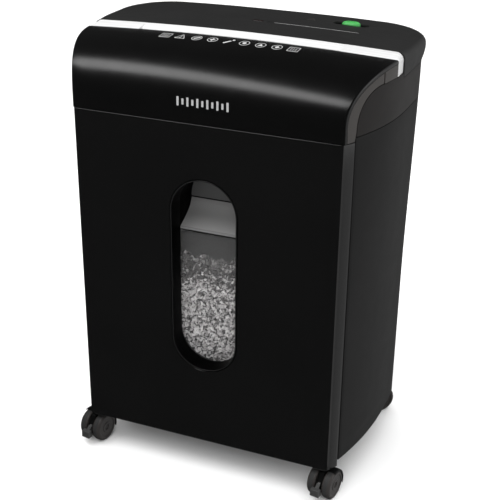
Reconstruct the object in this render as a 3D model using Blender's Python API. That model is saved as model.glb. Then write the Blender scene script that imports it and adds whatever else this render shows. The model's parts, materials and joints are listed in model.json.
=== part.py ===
"""Paper shredder on four casters, with a pull-out bin, a cutter head and a paper slot across the top.

Every length is in metres. +X is to the right of someone facing the front, +Y is to the back and +Z is up.
Depths are measured back from the flat front face, and heights up from the floor. The empty front_datum
carries all pieces and puts the middle of the footprint at the world's origin.
"""

import math

import bmesh
import bpy
from mathutils import Vector

for leftover in list(bpy.data.objects):
    bpy.data.objects.remove(leftover, do_unlink=True)

# ---------------------------------------------------------------- driving dimensions
FOOTPRINT_MIDDLE = 0.1066  # depth of the bounding box's middle, behind the front face
GAP = 0.0004  # clearance kept between neighbours
WALL = 0.0024  # moulded wall thickness

CABINET_BOTTOM = 0.0470
CABINET_TOP = 0.4196
CABINET_REAR = 0.2160
REAR_CORNER = 0.0500
WIDEST_DEPTH = 0.1320
FLARE_FROM = 0.2000  # the side walls start to lean outwards at this height
FLARE_TO = 0.4600

FRONT_HALF = 0.1465  # half the width of the flat front face
FLANGE_HALF = 0.1543  # half the width at the back of the front panel's side flange
FLANGE_DEPTH = 0.0132
PANEL_BOTTOM = 0.0394
PANEL_TOP = 0.4152
PANEL_WALL = 0.0028

WINDOW_HALF = 0.0363
WINDOW_BOTTOM = 0.1336
WINDOW_TOP = 0.3552
WINDOW_DEPTH = 0.0200
POCKET_DEPTH = 0.0500
LEDGE_FRONT = 0.2925  # height of the ledge's front edge, over the pane
LEDGE_KNEE = (0.0437, 0.3045)  # depth and height where the ledge gets steeper
LEDGE_BACK = 0.3157
LEDGE_UNDER = 0.2884
WINDOW_WALL = 0.0022

TUB_HALF = 0.1440
TUB_FRONT = 0.0248
TUB_REAR = 0.1900
TUB_BOTTOM = 0.0540
TUB_TOP = 0.4020
TUB_WALL = 0.0022

SEAM = 0.4159  # bottom of the hood
SKIRT_BOTTOM = 0.4202
HOOD_RUN = 0.0800
HOOD_SPRING = 0.4326  # height where the hood starts to curve back
HOOD_RISE = 0.0480
HOOD_POWER = 2.2
HOOD_REAR = 0.0835
FLANGE_ENDS = 0.0540  # depth where the hood's side flange stops
FLANGE_SPRING = (0.0150, 0.4240)  # depth and height where the flange's inner edge starts to curve
FLANGE_RUN = 0.0390
FLANGE_RISE = 0.0402
FLANGE_POWER = 2.3
RIM = 0.0030  # depth of the hood's narrow rim, behind its flange
CROWN = 0.0045  # how much the top is higher at the middle than at its ends
TRIM_FRONT = 0.0843
TRIM_REAR = 0.1020
TRIM_DROP = 0.4638  # height of the lower end of the trim, at the sides
THROAT_HALF = 0.1120  # half the width of the paper slot
THROAT_REAR = 0.0896

LID_TOP = 0.4881
LID_REAR = 0.2200
LID_HALF = 0.1785
LID_UNDER = 0.4592
LID_CORNER = 0.0520

CUTTER_HEIGHT = 0.4280
NIP_DEPTH = 0.1120
SHAFT_SPACING = 0.0300
DISC_RADIUS = 0.0170
DISC_CORE = 0.0110
DISC_PITCH = 0.0160
DISC_WIDTH = 0.0060
JOURNAL = 0.0050
TRAY_UNDER = 0.4080
TRAY_TOP = 0.4105
PLATE_INNER = 0.1155
PLATE_OUTER = 0.1180

WHEEL_RADIUS = 0.0170
WHEEL_SIDES = 24
CASTER_TRAIL = 0.0120
CASTER_FRONT = (0.1435, 0.0230)
CASTER_REAR = (0.1370, 0.1990)
PAD_BOTTOM = 0.0360

ROUND = 20  # sides of a small round piece


# ---------------------------------------------------------------- materials
def material(name, colour, roughness, metallic=0.0, alpha=1.0):
    made = bpy.data.materials.new(name)
    made.use_nodes = True
    shader = made.node_tree.nodes["Principled BSDF"]
    shader.inputs["Base Color"].default_value = (*colour, 1.0)
    shader.inputs["Roughness"].default_value = roughness
    shader.inputs["Metallic"].default_value = metallic
    shader.inputs["Alpha"].default_value = alpha
    made.diffuse_color = (*colour, alpha)
    return made


GLOSS_BLACK = material("gloss_black", (0.006, 0.006, 0.007), 0.12)
SATIN_BLACK = material("satin_black", (0.016, 0.016, 0.016), 0.38)
MATTE_BLACK = material("matte_black", (0.030, 0.028, 0.027), 0.55)
SILVER = material("silver_paint", (0.72, 0.72, 0.72), 0.32, 0.35)
SWITCH_GREEN = material("switch_green", (0.05, 0.38, 0.10), 0.45)
SMOKED_CLEAR = material("smoked_clear", (0.10, 0.10, 0.10), 0.06, 0.0, 0.35)
NYLON = material("caster_nylon", (0.035, 0.033, 0.032), 0.45)
GEAR_WHITE = material("gear_white", (0.75, 0.74, 0.70), 0.45)
STEEL = material("steel", (0.48, 0.48, 0.49), 0.32, 1.0)
BRONZE = material("bronze", (0.50, 0.34, 0.16), 0.40, 1.0)
BOARD_GREEN = material("board_green", (0.02, 0.16, 0.07), 0.50)
DARK_LENS = material("dark_lens", (0.010, 0.006, 0.006), 0.10)


# ---------------------------------------------------------------- placing and shaping helpers
def empty(name, parent, location=(0, 0, 0), turn=0.0):
    made = bpy.data.objects.new(name, None)
    made.empty_display_size = 0.02
    made.location = location
    made.rotation_euler = (0, 0, turn)
    made.parent = parent
    bpy.context.collection.objects.link(made)
    return made


DATUM = empty("front_datum", None, (0, -FOOTPRINT_MIDDLE, 0))


def put(name, mesh_builder, look, origin=(0, 0, 0), parent=DATUM, smooth=35):
    """Makes an object from a bmesh whose points are in the parent's frame, with its origin at the given point."""
    bmesh.ops.recalc_face_normals(mesh_builder, faces=mesh_builder.faces)
    bmesh.ops.translate(mesh_builder, verts=mesh_builder.verts, vec=-Vector(origin))
    mesh = bpy.data.meshes.new(name)
    mesh_builder.to_mesh(mesh)
    mesh_builder.free()
    mesh.materials.append(look)
    if smooth:
        mesh.shade_smooth()
        mesh.set_sharp_from_angle(angle=math.radians(smooth))
    made = bpy.data.objects.new(name, mesh)
    made.location = origin
    made.parent = parent
    bpy.context.collection.objects.link(made)
    return made


def box(low, high):
    made = bmesh.new()
    bmesh.ops.create_cube(made, size=1.0)
    middle = (Vector(low) + Vector(high)) / 2
    size = Vector(high) - Vector(low)
    for vert in made.verts:
        vert.co = Vector(a * b for a, b in zip(vert.co, size)) + middle
    return made


def prism(outline, axis, start, end):
    """Extrudes an outline along X, Y or Z. The outline's two numbers are the other two axes, in order."""

    def place(a, b, along):
        return {"X": (along, a, b), "Y": (a, along, b), "Z": (a, b, along)}[axis]

    made = bmesh.new()
    low = [made.verts.new(place(a, b, start)) for a, b in outline]
    high = [made.verts.new(place(a, b, end)) for a, b in outline]
    count = len(outline)
    made.faces.new(low)
    made.faces.new(high)
    for i in range(count):
        j = (i + 1) % count
        made.faces.new((low[i], low[j], high[j], high[i]))
    return made


def stacked(rings):
    """A closed solid through a stack of rings, with both ends filled."""
    made = bmesh.new()
    levels = [[made.verts.new(p) for p in one] for one in rings]
    around = len(rings[0])
    for one, two in zip(levels, levels[1:]):
        for k in range(around):
            n = (k + 1) % around
            made.faces.new((one[k], one[n], two[n], two[k]))
    made.faces.new(levels[0])
    made.faces.new(levels[-1])
    return made


def circle(radius, centre=(0.0, 0.0), sides=ROUND, turn=0.0):
    steps = (turn + 2 * math.pi * k / sides for k in range(sides))
    return [(centre[0] + radius * math.cos(a), centre[1] + radius * math.sin(a)) for a in steps]


def lathe(profile, axis, centre, sides=ROUND, turn=0.0):
    """Turns a profile of (distance along the axis, radius) about X, Y or Z. It starts and ends on the axis."""
    made = bmesh.new()

    def place(along, radius, angle):
        a = centre[0] + radius * math.cos(angle)
        b = centre[1] + radius * math.sin(angle)
        return {"X": (along, a, b), "Y": (a, along, b), "Z": (a, b, along)}[axis]

    rings = []
    for along, radius in profile:
        if radius == 0:
            rings.append([made.verts.new(place(along, 0, 0))])
        else:
            turns = (turn + 2 * math.pi * k / sides for k in range(sides))
            rings.append([made.verts.new(place(along, radius, a)) for a in turns])
    for one, two in zip(rings, rings[1:]):
        for k in range(sides):
            n = (k + 1) % sides
            if len(one) == 1:
                made.faces.new((one[0], two[k], two[n]))
            elif len(two) == 1:
                made.faces.new((one[k], one[n], two[0]))
            else:
                made.faces.new((one[k], one[n], two[n], two[k]))
    return made


def ring(start, end, outer, inner, axis, centre, sides=ROUND):
    """A plain bush: a tube with square ends."""
    made = bmesh.new()

    def place(along, radius, angle):
        a = centre[0] + radius * math.cos(angle)
        b = centre[1] + radius * math.sin(angle)
        return {"X": (along, a, b), "Y": (a, along, b), "Z": (a, b, along)}[axis]

    corners = [(start, outer), (end, outer), (end, inner), (start, inner)]
    turns = [2 * math.pi * k / sides for k in range(sides)]
    loops = [[made.verts.new(place(s, r, a)) for a in turns] for s, r in corners]
    for one, two in zip(loops, loops[1:] + loops[:1]):
        for k in range(sides):
            n = (k + 1) % sides
            made.faces.new((one[k], one[n], two[n], two[k]))
    return made


def shell(outer, inner):
    """A closed wall between two grids of points with the same numbers of rows and columns."""
    made = bmesh.new()
    front = [[made.verts.new(p) for p in row] for row in outer]
    back = [[made.verts.new(p) for p in row] for row in inner]
    rows = len(outer)
    columns = len(outer[0])
    for grid in (front, back):
        for r in range(rows - 1):
            for c in range(columns - 1):
                made.faces.new((grid[r][c], grid[r][c + 1], grid[r + 1][c + 1], grid[r + 1][c]))
    for r in range(rows - 1):
        for c in (0, columns - 1):
            made.faces.new((front[r][c], front[r + 1][c], back[r + 1][c], back[r][c]))
    for c in range(columns - 1):
        for r in (0, rows - 1):
            made.faces.new((front[r][c], front[r][c + 1], back[r][c + 1], back[r][c]))
    return made


def tube(outer_rings, inner_rings):
    """A closed wall between two stacks of rings, open at both ends."""
    made = bmesh.new()
    outer = [[made.verts.new(p) for p in one] for one in outer_rings]
    inner = [[made.verts.new(p) for p in one] for one in inner_rings]
    around = len(outer[0])
    loops = outer + inner[::-1]
    for one, two in zip(loops, loops[1:] + loops[:1]):
        for k in range(around):
            n = (k + 1) % around
            made.faces.new((one[k], one[n], two[n], two[k]))
    return made


def bowl(outer_rings, inner_rings):
    """A closed wall between two stacks of rings. The last ring of each stack is filled, the first is open."""
    made = bmesh.new()
    outer = [[made.verts.new(p) for p in one] for one in outer_rings]
    inner = [[made.verts.new(p) for p in one] for one in inner_rings]
    around = len(outer[0])
    for stack in (outer, inner):
        for one, two in zip(stack, stack[1:]):
            for k in range(around):
                n = (k + 1) % around
                made.faces.new((one[k], one[n], two[n], two[k]))
        made.faces.new(stack[-1])
    for k in range(around):
        n = (k + 1) % around
        made.faces.new((outer[0][k], outer[0][n], inner[0][n], inner[0][k]))
    return made


def combine(target, builder, operation):
    """Cuts a hidden helper from an object, joins it on, or keeps what they share."""
    helper = put(f"{target.name}_{operation.lower()}_{len(target.modifiers)}", builder, STEEL, smooth=0)
    helper.parent = target.parent
    helper.hide_render = True
    helper.display_type = "WIRE"
    step = target.modifiers.new(operation.title(), "BOOLEAN")
    step.operation = operation
    step.solver = "EXACT"
    step.object = helper
    return target


def cut(target, builder):
    return combine(target, builder, "DIFFERENCE")


def join(target, builder):
    return combine(target, builder, "UNION")


def soften(value):
    value = min(1.0, max(0.0, value))
    return value * value * (3 - 2 * value)


# ---------------------------------------------------------------- the body's plan and profile
def half_width(depth, height):
    """Half the outer width of the body, which is barrel shaped in plan and leans out towards its head."""
    reach = max(0.0, WIDEST_DEPTH - depth)
    low = 0.1726 - 0.0181 * (reach / 0.1190) ** 2
    high = 0.1763 - 0.0204 * (reach / 0.1140) ** 2.4
    return low + (high - low) * soften((height - FLARE_FROM) / (FLARE_TO - FLARE_FROM))


def wall_path(start, height, inset=0.0, side_steps=8, corner_steps=5, rear=CABINET_REAR):
    """Plan of the wall from its front right edge round the back to its front left edge."""
    radius = REAR_CORNER - inset
    widest = half_width(WIDEST_DEPTH, height) - inset
    turn_at = rear - REAR_CORNER
    side = []
    for k in range(side_steps):
        depth = start + (turn_at - start) * k / side_steps
        side.append((half_width(depth, height) - inset, depth))
    for k in range(corner_steps + 1):
        angle = math.pi / 2 * k / corner_steps
        across = widest - radius + radius * math.cos(angle)
        side.append((across, turn_at + radius * math.sin(angle)))
    return side + [(-x, y) for x, y in reversed(side)]


def wall_rows(start, heights, inset):
    return [[(x, y, z) for x, y in wall_path(start, z, inset)] for z in heights]


def lid_height(across):
    return LID_TOP - CROWN * (across / LID_HALF) ** 2


HOOD_STEPS = (0.0, 10.0, 20.0, 30.0, 40.0, 50.0, 60.0, 67.0, 73.1, 73.9, 80.0, 85.0, 90.0)
FLANGE_STEPS = 9  # how many of those steps carry the wide flange


def curve_point(angle, power):
    """Shares of the run and of the rise at an angle along a superellipse."""
    turn = math.radians(angle)
    return 1 - max(0.0, math.cos(turn)) ** (2 / power), math.sin(turn) ** (2 / power)


def hood_profile():
    """Depth and height along the hood's edge, from its seam up and back to the slot."""
    points = [(0.0, SEAM)]
    for angle in HOOD_STEPS:
        run, rise = curve_point(angle, HOOD_POWER)
        points.append((HOOD_RUN * run, HOOD_SPRING + HOOD_RISE * rise))
    points.append((HOOD_REAR, HOOD_SPRING + HOOD_RISE))
    return points


def flange_edge():
    """Depth and height of the inner edge of the hood's side flange, one point for each profile point."""
    points = [(FLANGE_DEPTH, SEAM)]
    for angle in HOOD_STEPS[:FLANGE_STEPS]:
        run, rise = curve_point(90.0 * angle / HOOD_STEPS[FLANGE_STEPS - 1], FLANGE_POWER)
        points.append((FLANGE_SPRING[0] + FLANGE_RUN * run, FLANGE_SPRING[1] + FLANGE_RISE * rise))
    return points


def stadium(half, bottom, top, steps=10):
    """Upright slot with round ends, as (across, height) points."""
    points = []
    for k in range(steps + 1):
        angle = math.pi * k / steps
        points.append((half * math.cos(angle), top - half + half * math.sin(angle)))
    for k in range(steps + 1):
        angle = math.pi * (1 + k / steps)
        points.append((half * math.cos(angle), bottom + half + half * math.sin(angle)))
    return points


# ---------------------------------------------------------------- cabinet and base
def make_cabinet():
    heights = [CABINET_BOTTOM, FLARE_FROM, 0.270, 0.340, CABINET_TOP]
    start = FLANGE_DEPTH + 0.0014
    outer = wall_rows(start, heights, 0.0)
    inner = wall_rows(start, heights, WALL)
    put("cabinet_shell", shell(outer, inner), SATIN_BLACK)


def make_base():
    floor_low = CABINET_BOTTOM + 0.0002
    floor_high = floor_low + 0.0040
    inset = WALL + GAP
    plan = wall_path(0.0165, floor_low, inset)
    base = put("base_frame", prism(plan, "Z", floor_low, floor_high), MATTE_BLACK, smooth=0)
    for side in (1, -1):
        pad = [
            (side * 0.1295, 0.0030),
            (side * 0.1440, 0.0030),
            (side * 0.1482, 0.0090),
            (side * 0.1498, 0.0170),
            (side * 0.1498, 0.0260),
            (side * 0.1470, 0.0310),
            (side * 0.1295, 0.0310),
        ]
        join(base, prism(pad, "Z", PAD_BOTTOM, PANEL_BOTTOM - GAP))
        x = CASTER_FRONT[0] - 0.0004
        low = (side * x - 0.0066, 0.0170, 0.0380)
        high = (side * x + 0.0066, 0.0300, floor_low + 0.0020)
        join(base, box(low, high))
        x, y = CASTER_REAR
        join(base, prism(circle(0.0125, (side * x, y - 0.004)), "Z", PAD_BOTTOM, floor_low + 0.002))
        for x, y in (CASTER_FRONT, CASTER_REAR):
            cut(base, prism(circle(0.0046, (side * x, y), 16), "Z", 0.0300, floor_high + 0.0010))
        rail = side * 0.1500
        join(base, box((rail - 0.0020, 0.0300, floor_high - 0.001), (rail + 0.0020, 0.1880, 0.0560)))


# ---------------------------------------------------------------- pull-out bin
def make_bin():
    plan = [
        (FLANGE_HALF, FLANGE_DEPTH),
        (0.1500, 0.0059),
        (FRONT_HALF + 0.0004, 0.0007),
        (FRONT_HALF - 0.0012, 0.0),
        (0.0600, 0.0),
    ]
    plan += [(-x, y) for x, y in reversed(plan)]
    inside = [
        (FLANGE_HALF - 0.0024, FLANGE_DEPTH),
        (0.1474, 0.0070),
        (FRONT_HALF - 0.0016, PANEL_WALL + 0.0008),
        (FRONT_HALF - 0.0030, PANEL_WALL),
        (0.0600, PANEL_WALL),
    ]
    inside += [(-x, y) for x, y in reversed(inside)]
    heights = [PANEL_BOTTOM, PANEL_TOP]
    outer_rows = [[(x, y, z) for x, y in plan] for z in heights]
    inner_rows = [[(x, y, z) for x, y in inside] for z in heights]
    panel = put("bin_front_panel", shell(outer_rows, inner_rows), GLOSS_BLACK, smooth=20)
    hole = WINDOW_HALF + WINDOW_WALL + GAP
    spread = WINDOW_WALL + GAP
    cut(panel, prism(stadium(hole, WINDOW_BOTTOM - spread, WINDOW_TOP + spread), "Y", -0.01, 0.01))

    frame_outline = stadium(
        WINDOW_HALF + WINDOW_WALL, WINDOW_BOTTOM - WINDOW_WALL, WINDOW_TOP + WINDOW_WALL
    )
    frame = put("window_frame", prism(frame_outline, "Y", 0.0002, WINDOW_DEPTH + 0.0012), GLOSS_BLACK)
    upper = [(x, z) for x, z in stadium(WINDOW_HALF + WINDOW_WALL, 0.1, WINDOW_TOP + WINDOW_WALL) if z > 0.3]
    upper += [(-WINDOW_HALF - WINDOW_WALL, LEDGE_UNDER), (WINDOW_HALF + WINDOW_WALL, LEDGE_UNDER)]
    join(frame, prism(upper, "Y", 0.0100, POCKET_DEPTH + WINDOW_WALL))
    cut(frame, prism(stadium(WINDOW_HALF, WINDOW_BOTTOM, WINDOW_TOP), "Y", -0.010, WINDOW_DEPTH))
    lower = [(x, z) for x, z in stadium(WINDOW_HALF, WINDOW_BOTTOM, 0.5) if z < 0.25]
    lower += [(WINDOW_HALF, LEDGE_UNDER), (-WINDOW_HALF, LEDGE_UNDER)]
    cut(frame, prism(lower, "Y", WINDOW_DEPTH - 0.001, 0.060))
    arch = [(x, z) for x, z in stadium(WINDOW_HALF, 0.1, WINDOW_TOP) if z > 0.3]
    arch += [(-WINDOW_HALF, LEDGE_BACK), (WINDOW_HALF, LEDGE_BACK)]
    cut(frame, prism(arch, "Y", WINDOW_DEPTH - 0.001, POCKET_DEPTH))
    scoop = [
        (WINDOW_DEPTH - 0.001, LEDGE_FRONT),
        (WINDOW_DEPTH + 0.002, LEDGE_FRONT),
        LEDGE_KNEE,
        (POCKET_DEPTH, LEDGE_BACK),
        (POCKET_DEPTH, LEDGE_BACK + 0.0010),
        (WINDOW_DEPTH - 0.001, LEDGE_BACK + 0.0010),
    ]
    cut(frame, prism(scoop, "X", -WINDOW_HALF, WINDOW_HALF))
    hollow = [
        (WINDOW_DEPTH + 0.0042, LEDGE_UNDER - 0.0010),
        (WINDOW_DEPTH + 0.0042, LEDGE_FRONT - 0.0022),
        (LEDGE_KNEE[0], LEDGE_KNEE[1] - 0.0030),
        (POCKET_DEPTH - 0.0005, LEDGE_BACK - 0.0048),
        (POCKET_DEPTH - 0.0005, LEDGE_UNDER - 0.0010),
    ]
    cut(frame, prism(hollow, "X", -WINDOW_HALF, WINDOW_HALF))

    pane_outline = [(x, z) for x, z in stadium(WINDOW_HALF + 0.0020, WINDOW_BOTTOM - 0.0020, 0.5) if z < 0.25]
    pane_top = LEDGE_UNDER - GAP
    pane_outline += [(WINDOW_HALF + 0.0020, pane_top), (-WINDOW_HALF - 0.0020, pane_top)]
    pane_front = WINDOW_DEPTH + 0.0012 + GAP
    put("window_pane", prism(pane_outline, "Y", pane_front, pane_front + 0.0020), SMOKED_CLEAR)

    def tub_ring(half, front, rear, radius, height):
        corners = [(half, rear), (-half, rear), (-half, front), (half, front)]
        turns = [0, 1, 2, 3]
        points = []
        for (x, y), quarter in zip(corners, turns):
            cx = x - math.copysign(radius, x)
            cy = y - radius if quarter < 2 else y + radius
            for k in range(4):
                angle = math.pi / 2 * (quarter + k / 3)
                points.append((cx + radius * math.cos(angle), cy + radius * math.sin(angle), height))
        return points

    t = TUB_WALL
    draft = 0.0035  # how much each side leans in towards the bottom
    outer = [
        tub_ring(TUB_HALF, TUB_FRONT, TUB_REAR, 0.014, TUB_TOP),
        tub_ring(TUB_HALF - draft, TUB_FRONT, TUB_REAR - draft, 0.014, TUB_BOTTOM),
    ]
    inner = [
        tub_ring(TUB_HALF - t, TUB_FRONT + t, TUB_REAR - t, 0.012, TUB_TOP),
        tub_ring(TUB_HALF - draft - t, TUB_FRONT + t, TUB_REAR - draft - t, 0.012, TUB_BOTTOM + t),
    ]
    tub = put("bin_tub", bowl(outer, inner), MATTE_BLACK)
    margin = WINDOW_WALL + 0.0012
    sight = stadium(WINDOW_HALF + margin, WINDOW_BOTTOM - margin, WINDOW_TOP + margin)
    cut(tub, prism(sight, "Y", TUB_FRONT - 0.002, TUB_FRONT + t + 0.002))
    for side, name in ((1, "bin_bracket_right"), (-1, "bin_bracket_left")):
        low = (side * 0.1080 - 0.0020, PANEL_WALL + GAP, 0.0700)
        high = (side * 0.1080 + 0.0020, TUB_FRONT - GAP, 0.3900)
        put(name, box(low, high), MATTE_BLACK, smooth=0)


# ---------------------------------------------------------------- outer head
def make_hood():
    columns = [-1.0, -0.92, -0.75, -0.5, -0.25, 0.0, 0.25, 0.5, 0.75, 0.92, 1.0]

    def rows_at(inset):
        """Rows of the hood's surface, moved in by the inset."""
        made = []
        profile = hood_profile()
        wide = flange_edge()
        for k, (y, z) in enumerate(profile):
            before = profile[max(0, k - 1)]
            after = profile[min(len(profile) - 1, k + 1)]
            run = Vector((after[0] - before[0], after[1] - before[1])).normalized()
            inward = Vector((run.y, -run.x)) if k > 1 else Vector((1.0, 0.0))
            lift = CROWN * soften((z - HOOD_SPRING) / HOOD_RISE)
            edge = half_width(y, z) - inset
            if k < len(wide):
                flange_y, flange_z = wide[k]
            else:
                flange_y = y + inward.x * RIM
                flange_z = z + inward.y * RIM
            flange_x = half_width(flange_y, flange_z) - inset
            row = [(-flange_x, flange_y, flange_z)]
            for t in columns:
                row.append((edge * t, y + inward.x * inset, z + inward.y * inset + lift * (1 - t * t)))
            row.append((flange_x, flange_y, flange_z))
            made.append(row)
        return made

    put("front_hood", shell(rows_at(0.0), rows_at(WALL)), GLOSS_BLACK)


def make_trim():
    """Bright strip behind the paper slot. Its middle tips forwards into the slot, its ends wrap down the sides."""
    front_end = HOOD_SPRING + HOOD_RISE
    edge = 0.1737
    drop = [
        (edge + 0.0006, TRIM_DROP, TRIM_DROP),
        (edge + 0.0004, front_end - 0.0040, front_end - 0.0020),
        (edge - 0.0012, front_end - 0.0014, front_end + 0.0012),
    ]

    def across(x, inset, lowered):
        """The strip's front, middle and rear points at a distance from the middle plane."""
        share = 1 - (x / edge) ** 2
        z_front = front_end + CROWN * share
        z_rear = lid_height(x)
        y_front = TRIM_FRONT
        if lowered:
            y_front = THROAT_REAR
            z_front -= 0.0080
        y_middle = (y_front + TRIM_REAR) / 2
        z_middle = (z_front + z_rear) / 2
        depths = (y_front, y_middle, TRIM_REAR)
        return [(x, y, z - inset) for y, z in zip(depths, (z_front, z_middle, z_rear))]

    def down(side, inset):
        rows = []
        for x, z_front, z_rear in drop:
            heights = (z_front, (z_front + z_rear) / 2, z_rear)
            depths = (TRIM_FRONT, (TRIM_FRONT + TRIM_REAR) / 2, TRIM_REAR)
            rows.append([(side * (x - inset), y, z) for y, z in zip(depths, heights)])
        return rows

    def grid(inset):
        step = THROAT_HALF + 0.9 * inset
        half = [(edge - 0.0045, False), (0.1500, False), (step + 0.0006, False), (step, True), (0.0700, True)]
        rows = down(-1, inset)
        rows += [across(-x, inset, lowered) for x, lowered in half]
        rows.append(across(0.0, inset, True))
        rows += [across(x, inset, lowered) for x, lowered in reversed(half)]
        return rows + down(1, inset)[::-1]

    put("silver_trim", shell(grid(0.0), grid(0.0020)), SILVER, smooth=25)


def make_shoulders():
    """Side fillers between the hood's flange and the trim's wrapped ends."""
    for side, name in ((1, "shoulder_right"), (-1, "shoulder_left")):
        depths = [FLANGE_ENDS + 0.0022, 0.0610, 0.0680, 0.0760, TRIM_FRONT - GAP]
        outer = []
        inner = []
        for y in depths:
            x = half_width(y, TRIM_DROP)
            share = 1 - ((HOOD_RUN - min(y, HOOD_RUN)) / HOOD_RUN) ** HOOD_POWER
            top = HOOD_SPRING + HOOD_RISE * share ** (1 / HOOD_POWER) - RIM - 0.0006
            outer.append([(side * x, y, TRIM_DROP), (side * x, y, top)])
            inner.append([(side * (x - WALL), y, TRIM_DROP), (side * (x - WALL), y, top)])
        put(name, shell(outer, inner), SATIN_BLACK)


def skirt_top(depth):
    """Height of the head's side wall, which follows the hood's flange, then the trim, then the lid."""
    if depth > TRIM_REAR - 0.0004:
        return LID_UNDER - GAP
    share = (depth - 0.0006 - FLANGE_SPRING[0]) / FLANGE_RUN
    share = min(1.0, max(0.0, share))
    rise = (1 - (1 - share) ** FLANGE_POWER) ** (1 / FLANGE_POWER)
    return min(FLANGE_SPRING[1] + FLANGE_RISE * rise - 0.0006, TRIM_DROP - GAP)


def make_skirt():
    start = FLANGE_SPRING[0] + 0.0008
    depths = [start, 0.0164, 0.0180, 0.0210, 0.0260, 0.0330, 0.0420, 0.0520, 0.0700, TRIM_REAR - 0.0010]
    depths += [TRIM_REAR - 0.0003, 0.1300]

    def rows_at(inset):
        turn_at = CABINET_REAR - REAR_CORNER
        plan = []
        for y in depths + [turn_at - 0.010]:
            plan.append((y, skirt_top(y)))
        columns = []
        for y, top in plan:
            columns.append([(half_width(y, z) - inset, y, z) for z in (SKIRT_BOTTOM, (SKIRT_BOTTOM + top) / 2, top)])
        radius = REAR_CORNER - inset
        for k in range(6):
            angle = math.pi / 2 * k / 5
            column = []
            top = LID_UNDER - GAP
            for z in (SKIRT_BOTTOM, (SKIRT_BOTTOM + top) / 2, top):
                widest = half_width(WIDEST_DEPTH, z) - inset
                across = widest - radius + radius * math.cos(angle)
                column.append((across, turn_at + radius * math.sin(angle), z))
            columns.append(column)
        mirrored = [[(-x, y, z) for x, y, z in column] for column in reversed(columns)]
        return columns + mirrored

    skirt = put("head_skirt", shell(rows_at(0.0), rows_at(WALL)), MATTE_BLACK)
    cut(skirt, prism(circle(0.0083, (CORD_X, CORD_Z)), "Y", 0.200, 0.230))
    for row in range(VENT_ROWS):
        height = SKIRT_BOTTOM + 0.0095 + 0.0055 * row
        for bay in range(VENT_BAYS):
            left = -0.0520 + 0.0360 * bay
            cut(skirt, box((left, 0.205, height), (left + 0.0300, 0.230, height + 0.0022)))


CORD_X = -0.1180
CORD_Z = 0.4390
VENT_ROWS = 4
VENT_BAYS = 4


def make_cord_inlet():
    """Flanged bush in the back wall where the mains lead goes in."""
    profile_rings = ring(0.2050, 0.2186, 0.0079, 0.0038, "Y", (CORD_X, CORD_Z))
    inlet = put("cord_inlet", profile_rings, SATIN_BLACK)
    join(inlet, ring(CABINET_REAR + GAP, 0.2188, 0.0110, 0.0050, "Y", (CORD_X, CORD_Z)))


def lid_outline(grow, rear_grow, corner):
    """Plan of the lid, anticlockwise from its front right corner. The overhang fades in behind the trim."""
    front = TRIM_REAR + 0.0003
    rear = CABINET_REAR + rear_grow
    turn_at = rear - corner
    points = []
    for k in range(7):
        y = front + (turn_at - front) * k / 7
        fade = soften((y - front) / 0.0300)
        points.append((half_width(y, FLARE_TO) + grow * fade, y))
    widest = half_width(WIDEST_DEPTH, FLARE_TO) + grow
    for k in range(7):
        angle = math.pi / 2 * k / 6
        across = widest - corner + corner * math.cos(angle)
        points.append((across, turn_at + corner * math.sin(angle)))
    return points + [(-x, y) for x, y in reversed(points)]


def make_lid():
    spread = LID_HALF - half_width(WIDEST_DEPTH, FLARE_TO)
    rear_spread = LID_REAR - CABINET_REAR
    plain = lid_outline(0.0, 0.0, REAR_CORNER)
    wide = lid_outline(spread, rear_spread, LID_CORNER)
    front = TRIM_REAR + 0.0003

    def shrink(outline, amount):
        """Moves an outline in, but keeps its straight front edge where it is."""
        made = []
        for x, y in outline:
            towards = Vector((-x, 0.160 - y))
            step = towards.normalized() * amount
            new_y = front if y < front + 1e-5 else max(front, y + step.y)
            made.append((x + step.x, new_y))
        return made

    def level(outline, height):
        return [(x, y, height) for x, y in outline]

    def crowned(outline, below):
        return [(x, y, lid_height(x) - below) for x, y in outline]

    wall = WALL
    outer = [
        level(plain, LID_UNDER),
        level(wide, LID_UNDER + 0.0075),
        crowned(wide, 0.0070),
        crowned(shrink(wide, 0.0008), 0.0035),
        crowned(shrink(wide, 0.0030), 0.0010),
        crowned(shrink(wide, 0.0065), 0.0),
    ]
    inner = [
        level([(x * 0.983, max(front + wall, y - wall if y > 0.16 else y)) for x, y in plain], LID_UNDER),
        level([(x * 0.983, max(front + wall, y - wall if y > 0.16 else y)) for x, y in plain], LID_UNDER + 0.0090),
        crowned([(x * 0.983, max(front + wall, y - wall if y > 0.16 else y)) for x, y in plain], 0.0080),
        crowned([(x * 0.960, max(front + wall, y - 0.004 if y > 0.16 else y)) for x, y in plain], wall),
    ]
    for scale in (0.75, 0.45, 0.15):
        outer.append(crowned([(x * scale, 0.150 + (y - 0.150) * scale) for x, y in shrink(wide, 0.0065)], 0.0))
        inner.append(crowned([(x * scale * 0.96, 0.150 + (y - 0.150) * scale * 0.97) for x, y in plain], wall))
    lid = put("top_cover", bowl(outer, inner), MATTE_BLACK)
    cut(lid, box((CARD_FROM, CARD_DEPTH - 0.0015, 0.470), (CARD_TO, CARD_DEPTH + 0.0015, 0.500)))
    cut(lid, prism(capsule(SWITCH_X, SWITCH_Y, 0.0205, 0.0062), "Z", 0.470, 0.500))
    cut(lid, prism(capsule(LENS_X, LENS_Y, 0.0070, 0.0026), "Z", 0.470, 0.500))


CARD_FROM = 0.0055
CARD_TO = 0.1135
CARD_DEPTH = 0.1535
SWITCH_X = 0.0930
SWITCH_Y = 0.1858
LENS_X = -0.0030
LENS_Y = 0.1550


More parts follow.
